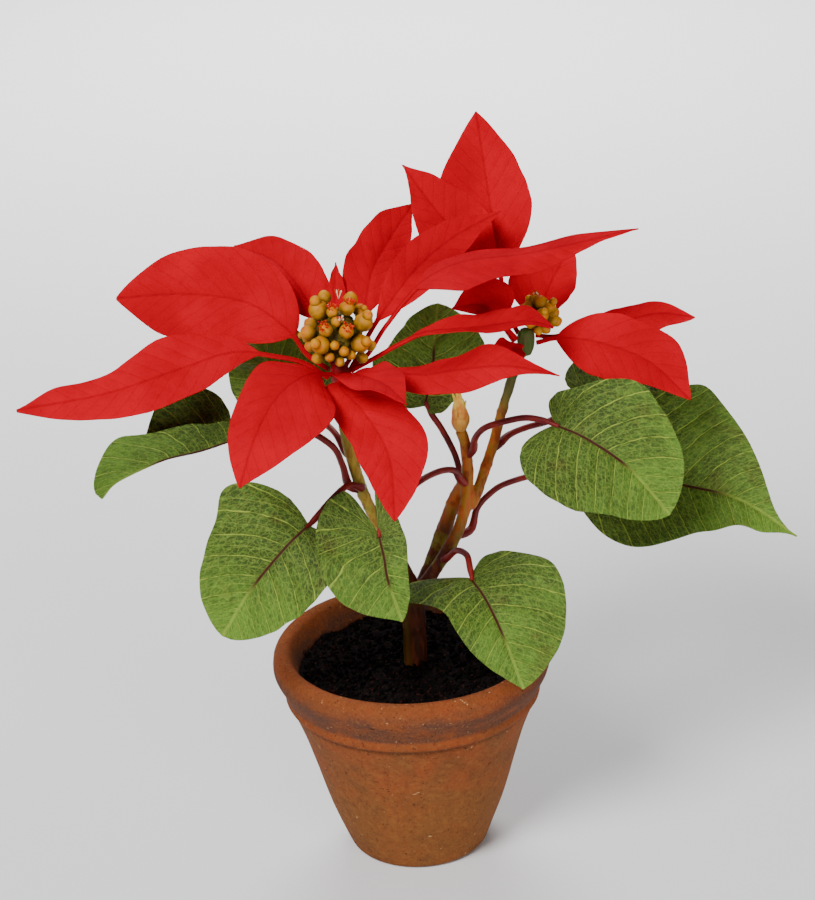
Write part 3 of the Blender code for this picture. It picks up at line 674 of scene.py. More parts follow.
# %% Shape one point of a blade
STALK_HALF_WIDTH = 1
TIP_HALF_WIDTH = 0.25
EDGE_WAVES = 14
EDGE_LAG = 3
GROOVE_WIDTH = 1.3


def outline_share(blade, along, half):
    """How much of its full half width the blade has, from its foot at 0 to its tip at 1."""
    if along >= blade.peak:
        fall = math.cos(0.5 * math.pi * (along - blade.peak) / (1 - blade.peak))
        return max(fall, 0) ** blade.taper[half]
    part = along / blade.peak
    if blade.stalk:
        return math.sin(0.5 * math.pi * part) ** blade.base
    return blade.foot + (1 - blade.foot) * math.sqrt(1 - (1 - part) ** 2)


def half_width(blade, veins, along, half):
    """The half width with its bumps and a slightly uneven edge."""
    width = blade.halves[half] * outline_share(blade, along, half)
    width += sum(reach * math.exp(-((along - place) / spread) ** 2)
                 for side, place, reach, spread in blade.bumps if side == half)
    seed = sum(map(ord, blade.name)) % 97
    uneven = veins.margin * noise.noise(Vector((along * 9, half * 5, seed))) * min(1, 6 * (1 - along))
    least = STALK_HALF_WIDTH + (TIP_HALF_WIDTH - STALK_HALF_WIDTH) * along
    return max(width + uneven, least)


def vein_relief(veins, number, out, share_out, along):
    """How far the surface stands up: puffed between the side veins, and sunk along the midrib."""
    fade = min(1, out / 4) * (1 - share_out ** 6) * min(1, 8 * (1 - along))
    puffed = abs(math.sin(math.pi * number)) ** 0.6 - 0.6
    sunk = veins.groove * math.exp(-(out / GROOVE_WIDTH) ** 2) * min(1, 3 * (1 - along))
    return veins.puff * puffed * fade - sunk


def blade_point(blade, veins, row, across):
    """One grid point's place, its distance out from the midrib and its vein number."""
    share, centre, side, normal, tangent, length = row
    along = (share - blade.stalk) / (1 - blade.stalk)
    if along < 0:
        return centre + side * (across * STALK_HALF_WIDTH), across, 0.5
    half = 0 if across < 0 else 1
    share_out = abs(across)
    out = half_width(blade, veins, along, half) * share_out
    opened = min(1, 4 * along) if blade.stalk else 1
    lean = math.radians(blade.fold + blade.curl * share_out) * opened
    wave = blade.ripple * share_out ** 2 * math.sin(math.pi * along)
    wave *= math.sin(EDGE_WAVES * along + EDGE_LAG * across)
    back = blade.lobe * math.sin(0.5 * math.pi * share_out) * (1 - along) ** 3
    number = vein_number(veins, length, along * length - back, out, half)
    lift = wave + vein_relief(veins, number, out, share_out, along) * opened
    place = (centre + side * math.copysign(out * math.cos(lean), across)
             + normal * (out * math.sin(lean) + lift) - tangent * back)
    return place, math.copysign(out, across), number


print("widest half of", LEAVES[0].name, round(half_width(LEAVES[0], LEAF_VEINS, LEAVES[0].peak, 1)), "mm")

# %% [markdown]
# ### From a grid to a leaf
# The primitive is a flat grid with about one face to a millimetre. Its points go to their places, the vein
# map is written, and a Solidify modifier gives the sheet a body. The weight of its vertex group makes the
# blade thick at the stalk and the midrib, where a real one has its rib underneath, and thin at the edge.
# The modifier gives the lower face the second finish, because a leaf is paler below.

# %% Grow a blade from a grid
BLADE_THICKNESS = 0.5
STALK_THICKNESS = 1.8
RIB_THICKNESS = 1.3
RIB_WIDTH = 1.1
CELL = 1.05
GUIDE_STEPS = 40


def blade_rows(blade, path):
    """For each row of the grid: its share, its centre and the directions across, up and along."""
    facing = [Vector(face).normalized() for face in blade.faces]
    last = len(path) - 1
    length = path_length(path) * (1 - blade.stalk)
    rows = []
    for index, centre in enumerate(path):
        tangent = (path[min(index + 2, last)] - path[max(index - 2, 0)]).normalized()
        side = tangent.cross(facing[0].lerp(facing[1], index / last)).normalized()
        rows.append((index / last, centre, side, side.cross(tangent), tangent, length))
    return rows


def body_share(blade, share, across, out):
    """The blade's thickness here, as a share of its stalk's."""
    along = (share - blade.stalk) / (1 - blade.stalk)
    stalky = min(max(1 - 8 * along, 0), 1) if blade.stalk else 0
    rib = (RIB_THICKNESS - BLADE_THICKNESS) * math.exp(-(out / RIB_WIDTH) ** 2)
    thick = BLADE_THICKNESS * (1 - 0.4 * across ** 8) + rib * min(1, max(0, 1.2 - along))
    round_stalk = STALK_THICKNESS * math.sqrt(1.05 - across * across)
    return (thick + (round_stalk - thick) * stalky) / STALK_THICKNESS


def grow_blade(blade, midrib, veins, slot, upper, lower):
    rows_up = max(24, round(path_length(smooth_path(midrib, GUIDE_STEPS)) / CELL))
    columns = 2 * max(6, round(max(blade.halves) / CELL))
    rows = blade_rows(blade, smooth_path(midrib, rows_up))
    start()
    bpy.ops.mesh.primitive_grid_add(x_subdivisions=columns, y_subdivisions=rows_up, size=2)
    piece = take(blade.name + "_veined")
    mesh = piece.data
    body = piece.vertex_groups.new(name="body")
    laid = []
    for vert in mesh.vertices:
        index = round((vert.co.y + 1) / 2 * rows_up)
        across = vert.co.x
        place, out, number = blade_point(blade, veins, rows[index], across)
        body.add([vert.index], body_share(blade, rows[index][0], across, abs(out)), "REPLACE")
        laid.append((out, number, across, rows[index][0]))
        vert.co = place * MM
    veined = mesh.uv_layers.new(name="veins")
    shares = mesh.uv_layers.new(name="shares")
    for loop in mesh.loops:
        out, number, across, share = laid[loop.vertex_index]
        veined.data[loop.index].uv = (out, number)
        shares.data[loop.index].uv = (across, share)
    apply_modifier(piece, "SOLIDIFY", thickness=STALK_THICKNESS * MM, offset=-0.4, vertex_group="body",
                   thickness_vertex_group=0, material_offset=1)
    smooth_faces(piece)
    register(piece, blade.name, slot, upper, lower)
    return piece


print("cells of", CELL, "mm, blades", BLADE_THICKNESS, "mm thick")

# %% [markdown]
# ## Green leaves
# A poinsettia's leaf is softly matt above and darker towards its foot. Its side veins are thin and pale,
# with finer ones and a faint net between them, and its midrib keeps the dark red of the stalk for half its
# way. Below it is paler and duller. All veins come from the vein map, so the net's meshes also lie along
# the side veins.

# %% Draw the veins
def vein_line(add, veins, width, times=1):
    """1 on a side vein and 0 beside it. Times 2 gives the finer veins half-way between too."""
    number = add("Math", (add("SeparateXYZ", (veins,), "Y"), times, 0.5), **TIMES_PLUS)
    beside = add("Math", (add("Math", (number,), operation="FRACT"), 0.5), operation="SUBTRACT")
    off = add("Math", (beside,), operation="ABSOLUTE")
    return add("MapRange", (off, width * times, width * times * 0.3), **SOFT)


def rib_line(add, veins, width_mm):
    """1 on the midrib and 0 beside it."""
    out = add("Math", (add("SeparateXYZ", (veins,), "X"),), operation="ABSOLUTE")
    return add("MapRange", (out, width_mm, width_mm * 0.4), **SOFT)


def net_line(add, veins, width):
    """1 on the edges of small cells that are laid out along the veins, and 0 in the cells."""
    cells = add("Mapping", {"Vector": veins, "Scale": (0.5, 4.2, 1)})
    edge = add("TexVoronoi", {"Vector": cells, "Scale": 1.0}, "Distance", feature="DISTANCE_TO_EDGE")
    return add("MapRange", (edge, width, width * 0.2), **SOFT)


print("vein helpers", [helper.__name__ for helper in (vein_line, rib_line, net_line)])

# %% Mix the leaf's two faces
def leaf_finish(name, deep, fresh, vein, rib, contrast, roughness):
    finish, add, place = new_finish(name)
    veins = add("UVMap", uv_map="veins")
    along = add("SeparateXYZ", (add("UVMap", uv_map="shares"),), "Y")
    lumps = add("TexNoise", {"Vector": place, "Scale": 1 / (7 * MM)}, "Color")
    uneven = add("VectorMath", (lumps, (0.5, 0.5, 0.5)), operation="SUBTRACT")
    shaken = add("VectorMath", (uneven, (0.5, 0.2, 0), veins), **TIMES_PLUS)
    drift = add("Math", (patches(add, place, 20, 0.3, 0.7), 0.4, along), **TIMES_PLUS)
    side = vein_line(add, shaken, 0.05)
    middle = rib_line(add, veins, 1.0)
    reddened = add("Math", (middle, add("MapRange", (along, 0.68, 0.5), **SOFT)), **TIMES)
    stretched = add("Mapping", {"Vector": shaken, "Scale": (0.35, 8, 1)})
    fibres = add("TexNoise", {"Vector": stretched, "Scale": 1.0, "Detail": 4})
    broken = add("Math", (side, patches(add, place, 3, 0.3, 0.6)), **TIMES)
    green = layers(
        add, place, deep,
        (add("MapRange", (drift, 0.4, 1.2), **SOFT), 1.0, fresh),
        (add("MapRange", (fibres, 0.5, 0.64), **SOFT), 0.45, fresh),
        ((0.8, 0.46, 0.68, 2), 0.22, vein),
        (add("MapRange", (fibres, 0.48, 0.34), **SOFT), 0.6, deep),
        ((1.5, 0.5, 0.7, 4), 0.3, deep),
        ((13, 0.56, 0.74), 0.4, rib),
        (net_line(add, shaken, 0.12), 0.22 * contrast, vein),
        (vein_line(add, shaken, 0.03, 2), 0.28 * contrast, vein),
        (broken, 0.85 * contrast, vein),
        (middle, 0.5, vein),
        (reddened, 1.0, rib),
    )
    return dress(finish, add, place, green, (1.4, 4), roughness, 0.4, 0.09, (side, -0.8))


leaf_upper = leaf_finish("leaf_upper_face", "#2f4016", "#527528", "#86993c", "#3a1a12", 1.0, (0.5, 0.65))
leaf_lower = leaf_finish("leaf_pale_lower_face", "#4e5a2a", "#66743a", "#858d4e", "#5a4228", 0.8, (0.6, 0.75))

# %% Grow the leaves
for leaf in LEAVES:
    grown = grow_blade(leaf, leaf.midrib, LEAF_VEINS, "leaf", leaf_upper, leaf_lower)
print("leaves grown", len(LEAVES), "faces in the last", len(grown.data.polygons))

# %% [markdown]
# ## Red bracts
# What look like petals are leaves that turn red when the nights get long. They have the same veins, fainter
# and of a deeper red. The face is matt like velvet: hardly any of the light is mirrored, so the red stays
# deep and full even where a bract faces the lamp. The lower face is duller, and its darker red is painted
# shade of the undersides.

# %% Mix the bract's two faces
def bract_finish(name, bright, deep, vein, roughness):
    finish, add, place = new_finish(name)
    veins = add("UVMap", uv_map="veins")
    side = vein_line(add, veins, 0.05)
    middle = rib_line(add, veins, 0.8)
    red = layers(
        add, place, bright,
        ((26, 0.35, 0.65), 1.0, deep),
        ((3, 0.5, 0.7, 4), 0.08, vein),
        (net_line(add, veins, 0.1), 0.05, vein),
        (side, 0.1, vein),
        (middle, 0.24, vein),
    )
    return dress(finish, add, place, red, (1.1, 4), roughness, 0.12, 0.02, (side, -0.5))


bract_upper = bract_finish("bract_velvet_upper_face", "#b20018", "#a40015", "#66000b", (0.7, 0.83))
# The lower face's darker reds are painted shade of the undersides. Its higher roughness is its own.
bract_lower_painted_shade = bract_finish("bract_lower_face", "#8c0012", "#7e0010", "#540009", (0.75, 0.88))

# %% [markdown]
# ## The blooms
# Each bract stands on a short stalk on the swollen end of its branch. The stalks start just off that knob,
# each in its own direction, and in three tiers one above the other, so none runs into its neighbour.

# %% Grow the bracts
KNOB_RADIUS = 4
FOOT_GAP = 0.5
TIER_STEP = 2.6


def bract_foot(crown, blade):
    """Where a bract's stalk starts, just off its bloom's knob and in its own direction."""
    centre = Vector(crown)
    first = Vector(blade.midrib[0]) - centre
    outward = Vector((first.x, first.y, 0)).normalized()
    centre.z += blade.tier * TIER_STEP
    rise = (Vector(blade.midrib[0]) - centre).normalized().z
    return centre + outward * (KNOB_RADIUS + FOOT_GAP + abs(rise) * STALK_THICKNESS / 2)


for crown, bracts in ((LEFT_CROWN, LEFT_BRACTS), (RIGHT_CROWN, RIGHT_BRACTS)):
    for blade in bracts:
        midrib = (bract_foot(crown, blade),) + blade.midrib
        grown = grow_blade(blade, midrib, BRACT_VEINS, "bract", bract_upper, bract_lower_painted_shade)
print("bracts grown", len(LEFT_BRACTS) + len(RIGHT_BRACTS), "faces in the last", len(grown.data.polygons))

# %% [markdown]
# ## Stem and branches
# The old trunk is dark brown bark, the branches turn orange and olive, and the youngest end is green. The
# knob that carries the left bloom is red like the feet of its bracts, and the right one is green. Several
# round bars overlap where the branches fork. Joined and remeshed with small voxels they become one skin
# with soft forks, as on a living stem, which a Boolean union would leave with hard creases.

# %% Mix the bark, from brown at the foot to green at the young end
def bark_finish():
    finish, add, place = new_finish("bark_brown_to_green")
    height = add("SeparateXYZ", (place,), "Z")
    side = add("SeparateXYZ", (place,), "X")
    lengthways = add("Mapping", {"Vector": place, "Scale": (1, 1, 0.22)})
    streak = patches(add, lengthways, 2.2, 0.4, 0.62, 4)
    lichen = patches(add, place, 10, 0.47, 0.56)
    right_side = add("MapRange", (side, 36 * MM, 44 * MM), **SOFT)
    young_end = add("Math", (right_side, add("MapRange", (height, 196 * MM, 216 * MM), **SOFT)), **TIMES)
    from_knob = add("VectorMath", (place, Vector(LEFT_CROWN) * MM), "Value", operation="DISTANCE")
    zones = (
        # where, the bark, its streaks, its patches
        (add("MapRange", (height, 116 * MM, 132 * MM), **SOFT), "#5c260a", "#35100a", "#75681c"),
        (add("MapRange", (height, 146 * MM, 168 * MM), **SOFT), "#a8501a", "#8c6a20", "#74300f"),
        (add("MapRange", (side, 2 * MM, -10 * MM), **SOFT), "#a68a34", "#83551f", "#7d7a2a"),
        (young_end, "#384d1b", "#545227", "#4a4420"),
        (add("MapRange", (from_knob, 11 * MM, 6 * MM), **SOFT), "#8c0010", "#6c0a10", "#78100c"),
    )
    colour = layers(add, place, "#3a190d", (streak, 1.0, "#5a2914"))
    for where, bark_tone, streak_tone, lichen_tone in zones:
        tone = layers(add, place, bark_tone, (lichen, 0.8, lichen_tone), (streak, 0.7, streak_tone))
        colour = add("Mix", {0: where, 6: colour, 7: tone}, 2, **COLOUR)
    return dress(finish, add, lengthways, colour, (1, 5), (0.42, 0.65), 0.22, 0.15, (streak, 0.4))


bark = bark_finish()

# %% List the branches
BRANCHES = (
    # name, places of the middle line, radius at each place
    ("trunk", ((2, 0, 72.3), (2, 0, 88), (2, 0, 105), (2, 0, 124), (2, 0, 129)), (4.5, 5.6, 5.2, 5.4, 3)),
    ("left_branch", ((2, 0, 124), (-1, -2, 136), (-9, -12, 159), (-16, -20, 179), (-20, -26, 197),
                     (-23, -29, 215), (-24, -30, 230), (-24, -30, 240)), (4, 3, 2.8, 2.6, 2.6, 2.5, 2.5, 3)),
    ("back_branch", ((5, 1, 122), (10, 6, 131), (17, 8, 150), (23, 5, 168), (27, 1, 177)),
     (5, 4, 3.6, 3, 2.4)),
    ("middle_branch", ((4, -2, 122), (10, -3, 133), (19, -5, 148), (25, -3, 160), (28, 0, 175), (28, 1, 192),
                       (26, 1, 201)), (4, 3, 2.8, 2.7, 2.7, 2.5, 2.5)),
    ("right_branch", ((28, 0, 165), (31, 1, 168), (36, 5, 180), (40, 8, 190), (44, 11, 203), (48, 13, 215),
                      (52, 14, 227), (56, 15, 235)), (2.6, 2.5, 2.4, 2.4, 2.2, 2.2, 2.2, 3)),
)
BRANCH_STEPS = 24
# height above the crown and radius of each ring of a knob
KNOB = ((-6, 2.2), (-2, 3.6), (1, 4), (4, 3.8), (6, 2.4))
print("branches", [name for name, points, radii in BRANCHES])

# %% Make a tube along a line
def tube(name, points, radii, sides_step):
    """A curve through the points with its own radius at each, made into a closed mesh."""
    start()
    bpy.ops.curve.primitive_nurbs_path_add(radius=MM)
    guide = take(name)
    guide.data.splines.clear()
    spline = guide.data.splines.new("POLY")
    spline.points.add(len(points) - 1)
    for knot, place, radius in zip(spline.points, points, radii):
        knot.co = (*(Vector(place) * MM), 1)
        knot.radius = radius
    guide.data.bevel_depth = MM
    guide.data.bevel_resolution = sides_step
    guide.data.use_fill_caps = True
    bpy.ops.object.convert(target="MESH")
    piece = take(name)
    edit("SELECT")
    bpy.ops.mesh.remove_doubles(threshold=1e-6)
    turn_faces_out()
    settle(piece)
    return piece


def tapered(points, radii, steps):
    """A smooth path with the radius at each of its steps."""
    path = smooth_path(points, steps)
    chords = [(Vector(b) - Vector(a)).length for a, b in zip(points, points[1:])]
    marks = [sum(chords[:count]) / sum(chords) for count in range(len(points))]
    sizes = []
    for step in range(steps + 1):
        share = step / steps
        leg = max(index for index in range(len(marks) - 1) if marks[index] <= share + 1e-9)
        part = (share - marks[leg]) / (marks[leg + 1] - marks[leg])
        sizes.append(radii[leg] + (radii[leg + 1] - radii[leg]) * min(part, 1))
    return path, sizes


def upright(foot, rings):
    """The places and radii of rings that are listed by their height above a foot."""
    return [Vector(foot) + Vector((0, 0, rise)) for rise, radius in rings], [radius for rise, radius in rings]


print("a tube has", BRANCH_STEPS, "steps")

# %% Join the branches and the knobs into one skin
BARK_CELL = 0.75
pieces = [tube(name, *tapered(points, radii, BRANCH_STEPS), 5) for name, points, radii in BRANCHES]
pieces += [tube("knob", *upright(crown, KNOB), 5) for crown in (LEFT_CROWN, RIGHT_CROWN)]
stem = join(pieces, "stem_with_bark")
apply_modifier(stem, "REMESH", mode="VOXEL", voxel_size=BARK_CELL * MM)
apply_modifier(stem, "SMOOTH", factor=0.5, iterations=4)
print("stem faces", len(stem.data.polygons))

# %% Raise the leaf scars and roughen the bark
SCAR_HEIGHTS = (108, 132, 148, 165, 182, 205, 221)
SCAR_REACH = 1.3
SCAR_RISE = 0.28
RIDGE_RISE = 0.22
RIDGE_GRAIN = Vector((0.9, 0.9, 0.16))
for vert in stem.data.vertices:
    spot = vert.co / MM
    height = spot.z + 0.9 * noise.noise(spot / 6)
    ring = sum(math.exp(-((height - scar) / SCAR_REACH) ** 2) for scar in SCAR_HEIGHTS)
    ridge = noise.noise(spot * RIDGE_GRAIN)
    vert.co += vert.normal * (SCAR_RISE * ring + RIDGE_RISE * ridge) * MM
smooth_faces(stem)
register(stem, "stem_and_branches", "bark", bark)
print("leaf scars at heights", SCAR_HEIGHTS)

# %% [markdown]
# ## Leaf stalks
# The stalks are round, smooth and waxy, and dark red. Lighter red and brown-red patches on them are painted
# highlights of the waxy skin. Each is a curve that is given a round bevel. It starts inside its branch, at
# the nearest place of the branch's middle line, swells where it leaves the bark, and thins a little where it
# runs on into the blade's own foot.

# %% Mix the stalk's skin
def petiole_finish():
    finish, add, place = new_finish("waxy_red_leaf_stalk")
    # Painted highlights: lighter red patches and fine brown-red patches over the dark red.
    skin = layers(add, place, "#560c10", ((9, 0.35, 0.65), 1.0, "#7a1a16"),
                  ((1.5, 0.55, 0.7, 2), 0.25, "#84402f"))
    return dress(finish, add, place, skin, (2, 3), (0.4, 0.55), 0.06, 0.2)


petiole_skin = petiole_finish()

# %% Bend the stalks
PETIOLES = (
    ("petiole_far_left", ((-23, -25, 189), (-25, -31, 201), (-29, -37, 213), (-42, -42, 224),
                          (-57, -43, 226))),
    ("petiole_left_back", ((-24, -24, 205), (-27, -18, 209), (-30, -11, 210), (-34, -4, 210))),
    ("petiole_middle_back", ((25, 9, 171), (25, 12, 177), (23, 14, 185), (18, 15, 196), (14, 15, 203))),
    ("petiole_low_left", ((-18, -28, 189), (-23, -34, 193), (-30, -41, 190), (-38, -46, 183))),
    ("petiole_low_middle", ((25, -4, 180), (22, -10, 187), (15, -20, 191), (6, -33, 192), (-3, -45, 188),
                            (-10, -53, 182))),
    ("petiole_low_right", ((18, -9, 145), (22, -15, 151), (26, -24, 153), (27, -30, 150))),
    ("petiole_right", ((31, -2, 193), (32, -6, 200), (36, -12, 207), (44, -18, 212), (53, -22, 215),
                       (61, -24, 214))),
    ("petiole_far_right", ((29, 2, 153), (32, 6, 161), (38, 10, 166), (46, 14, 169), (64, 19, 171),
                           (84, 21, 171))),
    ("petiole_right_back", ((43, 10, 190), (48, 15, 192), (56, 22, 192), (67, 31, 191), (80, 41, 194))),
)
PETIOLE_RADIUS = 1.4
PETIOLE_STEPS = 40
ROOT_BACK = 5
ROOT_SWELL = 0.4
MIDDLE_LINES = [place for name, points, radii in BRANCHES for place in smooth_path(points, 60)]
FEET = {leaf.name.replace("leaf", "petiole"): leaf.midrib[:2] for leaf in LEAVES}
PETIOLE_RADII = [PETIOLE_RADIUS * (1 + ROOT_SWELL * math.exp(-((step - 3) / 4) ** 2))
                 * min(1, 0.6 + (PETIOLE_STEPS - step) / 12) for step in range(PETIOLE_STEPS + 1)]
for name, points in PETIOLES:
    first, second = [Vector(point) for point in points[:2]]
    back = first - (second - first).normalized() * ROOT_BACK
    root = min(MIDDLE_LINES, key=lambda place: (place - back).length)
    foot, onward = [Vector(point) for point in FEET[name]]
    path = smooth_path((root, *points, foot.lerp(onward, 0.12)), PETIOLE_STEPS)
    stalk = tube(name + "_skin", path, PETIOLE_RADII, 4)
    smooth_faces(stalk)
    register(stalk, name, "petiole", petiole_skin)
print("stalks bent", len(PETIOLES))

# %% [markdown]
# ## The closed bud
# A young shoot sits at the end of the middle branch. It is wrapped in narrow cream scales, flushed with
# orange at one side, that taper to points at different heights. Each scale is a small grid wrapped round
# the bud's axis.

# %% Mix the bud scale's skin
def bud_finish():
    finish, add, place = new_finish("cream_bud_scale")
    own = add("UVMap", uv_map="UVMap")
    upward = add("MapRange", (add("SeparateXYZ", (own,), "Y"), 0.25, 0.8), **SOFT)
    lengthways = add("Mapping", {"Vector": own, "Scale": (26, 1.5, 1)})
    fibre = add("TexNoise", {"Vector": lengthways, "Scale": 1.0})
    cream = layers(
        add, place, "#b98038", (upward, 1.0, "#ccb048"),
        ((6, 0.5, 0.62, 2), 0.7, "#b4541c"),
        (add("MapRange", (fibre, 0.5, 0.7), **SOFT), 0.35, "#7c6024"),
    )
    return dress(finish, add, place, cream, fibre, (0.45, 0.6), 0.12, 0.15)


bud_skin = bud_finish()

# %% Wrap the scales
BUD_FOOT = Vector((26, 1, 202))
SCALE_CELLS = 14
SCALE_RIDGE = 0.18
SCALE_THICKNESS = 0.5
BUD_SCALES = (
    # turn and half spread in degrees, foot, height, widest radius, how far the tip leans out
    (250, 75, 0, 11, 3.9, 0.3), (10, 70, 0.5, 12, 3.8, 1.2), (130, 75, 1, 12, 3.7, 0.6),
    (205, 48, 2, 15, 3.4, 2.2), (305, 50, 2.5, 12, 3.4, 1.1), (60, 60, 2, 14, 3.0, 0.4),
    (265, 60, 4, 14.6, 2.8, 0.6), (90, 70, 4, 14.4, 2.4, 0.0), (235, 40, 5, 14, 2.4, 1.6),
)
# height above the bud's foot and radius
BUD_CORE = ((-1, 2.4), (1, 3), (4, 3.2), (8, 2.4), (12, 1.3), (15, 0.4))


def wrap_scale(index, turn, spread, foot, height, radius, lean):
    start()
    bpy.ops.mesh.primitive_grid_add(x_subdivisions=SCALE_CELLS, y_subdivisions=SCALE_CELLS, size=2)
    scale = take("bud_scale_%d" % index)
    for vert in scale.data.vertices:
        across, up = vert.co.x, (vert.co.y + 1) / 2
        angle = math.radians(turn + spread * across * math.cos(0.5 * math.pi * up) ** 0.6)
        reach = radius * (0.5 + 0.5 * math.sin(math.pi * min(up * 1.25 + 0.12, 1))) + lean * up ** 3
        reach *= 1 - 0.45 * up ** 2 if lean < 1 else 1 - 0.15 * up ** 2
        ridge = SCALE_RIDGE * math.exp(-(across * 4) ** 2)
        flat = Vector((math.cos(angle), math.sin(angle), 0)) * (reach + ridge)
        vert.co = (BUD_FOOT + flat + Vector((0, 0, foot + height * up))) * MM
    apply_modifier(scale, "SOLIDIFY", thickness=SCALE_THICKNESS * MM, offset=0)
    return scale


pieces = [wrap_scale(index, *scale) for index, scale in enumerate(BUD_SCALES)]
pieces.append(tube("bud_core", *upright(BUD_FOOT, BUD_CORE), 4))
bud = join(pieces, "bud_of_scales")
smooth_faces(bud)
register(bud, "stem_bud", "bud", bud_skin)
print("bud faces", len(bud.data.polygons))

# %% [markdown]
# ## The true flowers
# The flowers of a poinsettia are the small yellow-green cups in the middle of the red bracts. Each cup has
# a golden gland at its side, which looks like a small ball on a larger one, and open cups push out red-
# tipped stamens. One cup, one gland and one stamen are modelled and copied. The places at the front are
# listed by how far right and up they show in the photograph, and they are put on the ball of the head from
# that. The back is filled evenly.

# %% Mix the cup, the stamens and the head's core
def cup_finish():
    finish, add, place = new_finish("waxy_gold_flower_cup")
    up = add("SeparateXYZ", (add("UVMap", uv_map="UVMap"),), "Y")
    # The yellow towards the mouth is partly the cup's own colour and partly a painted highlight of its lit
    # top. The dark olive at the foot is partly its own green and partly painted shade between the crowded
    # cups.
    upper = add("MapRange", (up, 0.45, 0.85), **SOFT)
    blotch = patches(add, place, 3.2, 0.35, 0.65)
    skin = layers(
        add, place, "#7a5200", (blotch, 1.0, "#a06e00"), (upper, 0.8, "#cc9000"),
        (add("Math", (upper, blotch), **TIMES), 0.8, "#b84a00"),
        (add("MapRange", (up, 0.42, 0.16), **SOFT), 0.85, "#383606"),
        ((0.7, 0.6, 0.75, 2), 0.3, "#7c4a12"),
    )
    return dress(finish, add, place, skin, (0.9, 3), (0.42, 0.6), 0.12, 0.2)


def plain_finish(name, first, second, size, roughness, lift):
    """A small part's finish: two colours in lumps of one size."""
    finish, add, place = new_finish(name)
    lumps = patches(add, place, size, 0.35, 0.65)
    tone = layers(add, place, first, (lumps, 1.0, second))
    return dress(finish, add, place, tone, lumps, (roughness - 0.06, roughness + 0.06), lift, 0.12)


cup_skin = cup_finish()
stamen_red = plain_finish("red_stamen", "#a01000", "#c23008", 1.2, 0.5, 0.05)
stamen_cream = plain_finish("cream_stamen", "#d8d0b0", "#c8b47a", 1.2, 0.55, 0.05)
# The head's core ball is dark olive: partly the flowers' own bases and partly painted shade in the gaps
# between the cups.
head_core_and_shade = plain_finish("dark_olive_flower_base", "#33260a", "#5c4c10", 2.2, 0.8, 0.4)

# %% Model one cup and one stamen
def ball(name, segments, rings, shape):
    """A sphere whose points are moved by the shape, a function of the point."""
    start()
    bpy.ops.mesh.primitive_uv_sphere_add(segments=segments, ring_count=rings, radius=1)
    piece = take(name)
    for vert in piece.data.vertices:
        vert.co = shape(vert.co)
    return piece


def cup_shape(co):
    """An urn: full below, drawn in at the mouth."""
    pinch = 1 - 0.22 * max(co.z, 0) ** 2 - 0.1 * max(-co.z, 0)
    ridge = 1 + 0.035 * math.cos(5 * math.atan2(co.y, co.x))
    return Vector((co.x * pinch * ridge, co.y * pinch * ridge, co.z * 1.1))


def gland_shape(co):
    """A ball of a little over half the cup's size."""
    return Vector((co.x * 0.58, co.y * 0.58, co.z * 0.62))


def stamen_shape(co):
    """A thin stalk with a round tip."""
    up = (co.z + 1) / 2
    width = 0.12 + 0.2 * math.exp(-((up - 0.9) / 0.12) ** 2)
    return Vector((co.x * width, co.y * width, up * 1.7))


cup = ball("cup", 18, 12, cup_shape)
gland = ball("gland", 14, 9, gland_shape)
stamen = ball("stamen", 6, 8, stamen_shape)
print("cup faces", len(cup.data.polygons), "stamen faces", len(stamen.data.polygons))

# %% List the cups of the two heads
VIEW_TILT = math.radians(23.4)
RIGHT = Vector((1, 0, 0))
UP = Vector((0, math.sin(VIEW_TILT), math.cos(VIEW_TILT)))
NEAR = Vector((0, -math.cos(VIEW_TILT), math.sin(VIEW_TILT)))
LEFT_HEAD = (-24, -30, 260)
LEFT_REACH = 12.5
LEFT_CUPS = (
    # right, up, radius, kind: c has a gland on top, p is plain, o is open with red stamens
    (-4.7, 14.9, 2.9, "p"), (-7.1, 9.5, 4.2, "c"), (-1.4, 8, 2.5, "o"), (6, 13.6, 3.1, "p"),
    (4.8, 9.5, 3, "o"), (9.5, 9, 2.7, "p"), (11, 3.8, 4, "c"), (-4.3, 1, 2.9, "o"), (4, 0, 3.1, "o"),
    (-11.7, 0.5, 3.3, "p"), (-11.2, -5, 2.4, "p"), (-6.7, -5, 3.9, "c"), (-8.4, -9.8, 2.6, "p"),
    (9.3, -5, 3.9, "c"), (13.4, -5.7, 2.3, "p"), (9.7, -10.6, 2.4, "p"), (-1, -5.5, 2, "p"),
    (2.6, -8, 2.2, "p"), (-3.4, -10, 2.1, "p"), (5.4, -9.6, 2, "p"), (0.6, -12, 2.1, "p"), (0, 4, 2.2, "p"),
)
LEFT_TUFTS = ((1.1, 14.9), (1.9, 4))
RIGHT_HEAD = (62, 17, 246)
RIGHT_REACH = 6
RIGHT_CUPS = (
    (0.8, 5.5, 3, "p"), (4.3, 3.3, 3, "c"), (6, 0.8, 2.8, "p"), (6, -2.3, 2.8, "p"), (7.3, -2.7, 2.4, "p"),
    (-1.3, 6.8, 2.4, "o"), (-0.5, -6, 2.3, "p"), (2.5, -5.7, 2.3, "p"), (1, 0, 3, "c"), (-5, 2, 2.7, "c"),
    (-4, -3, 2.6, "p"),
)
RIGHT_TUFTS = ((-1, 7.5),)
BACK_CUPS = 9
BACK_LEANS = (55, 82, 100)
CORE_SHARE = 0.76
CORE_DROP = Vector((0, 0, 1.5))
# how much an axis is drawn up or to the front
CUP_RISE = Vector((0, 0, 0.55))
TUFT_RISE = Vector((0, 0, 0.5))
GLAND_LEAN = Vector((0, -0.4, 0))
STAMEN_TURN = 2.4
print("cups at the front", len(LEFT_CUPS), len(RIGHT_CUPS), "and at the back", BACK_CUPS)

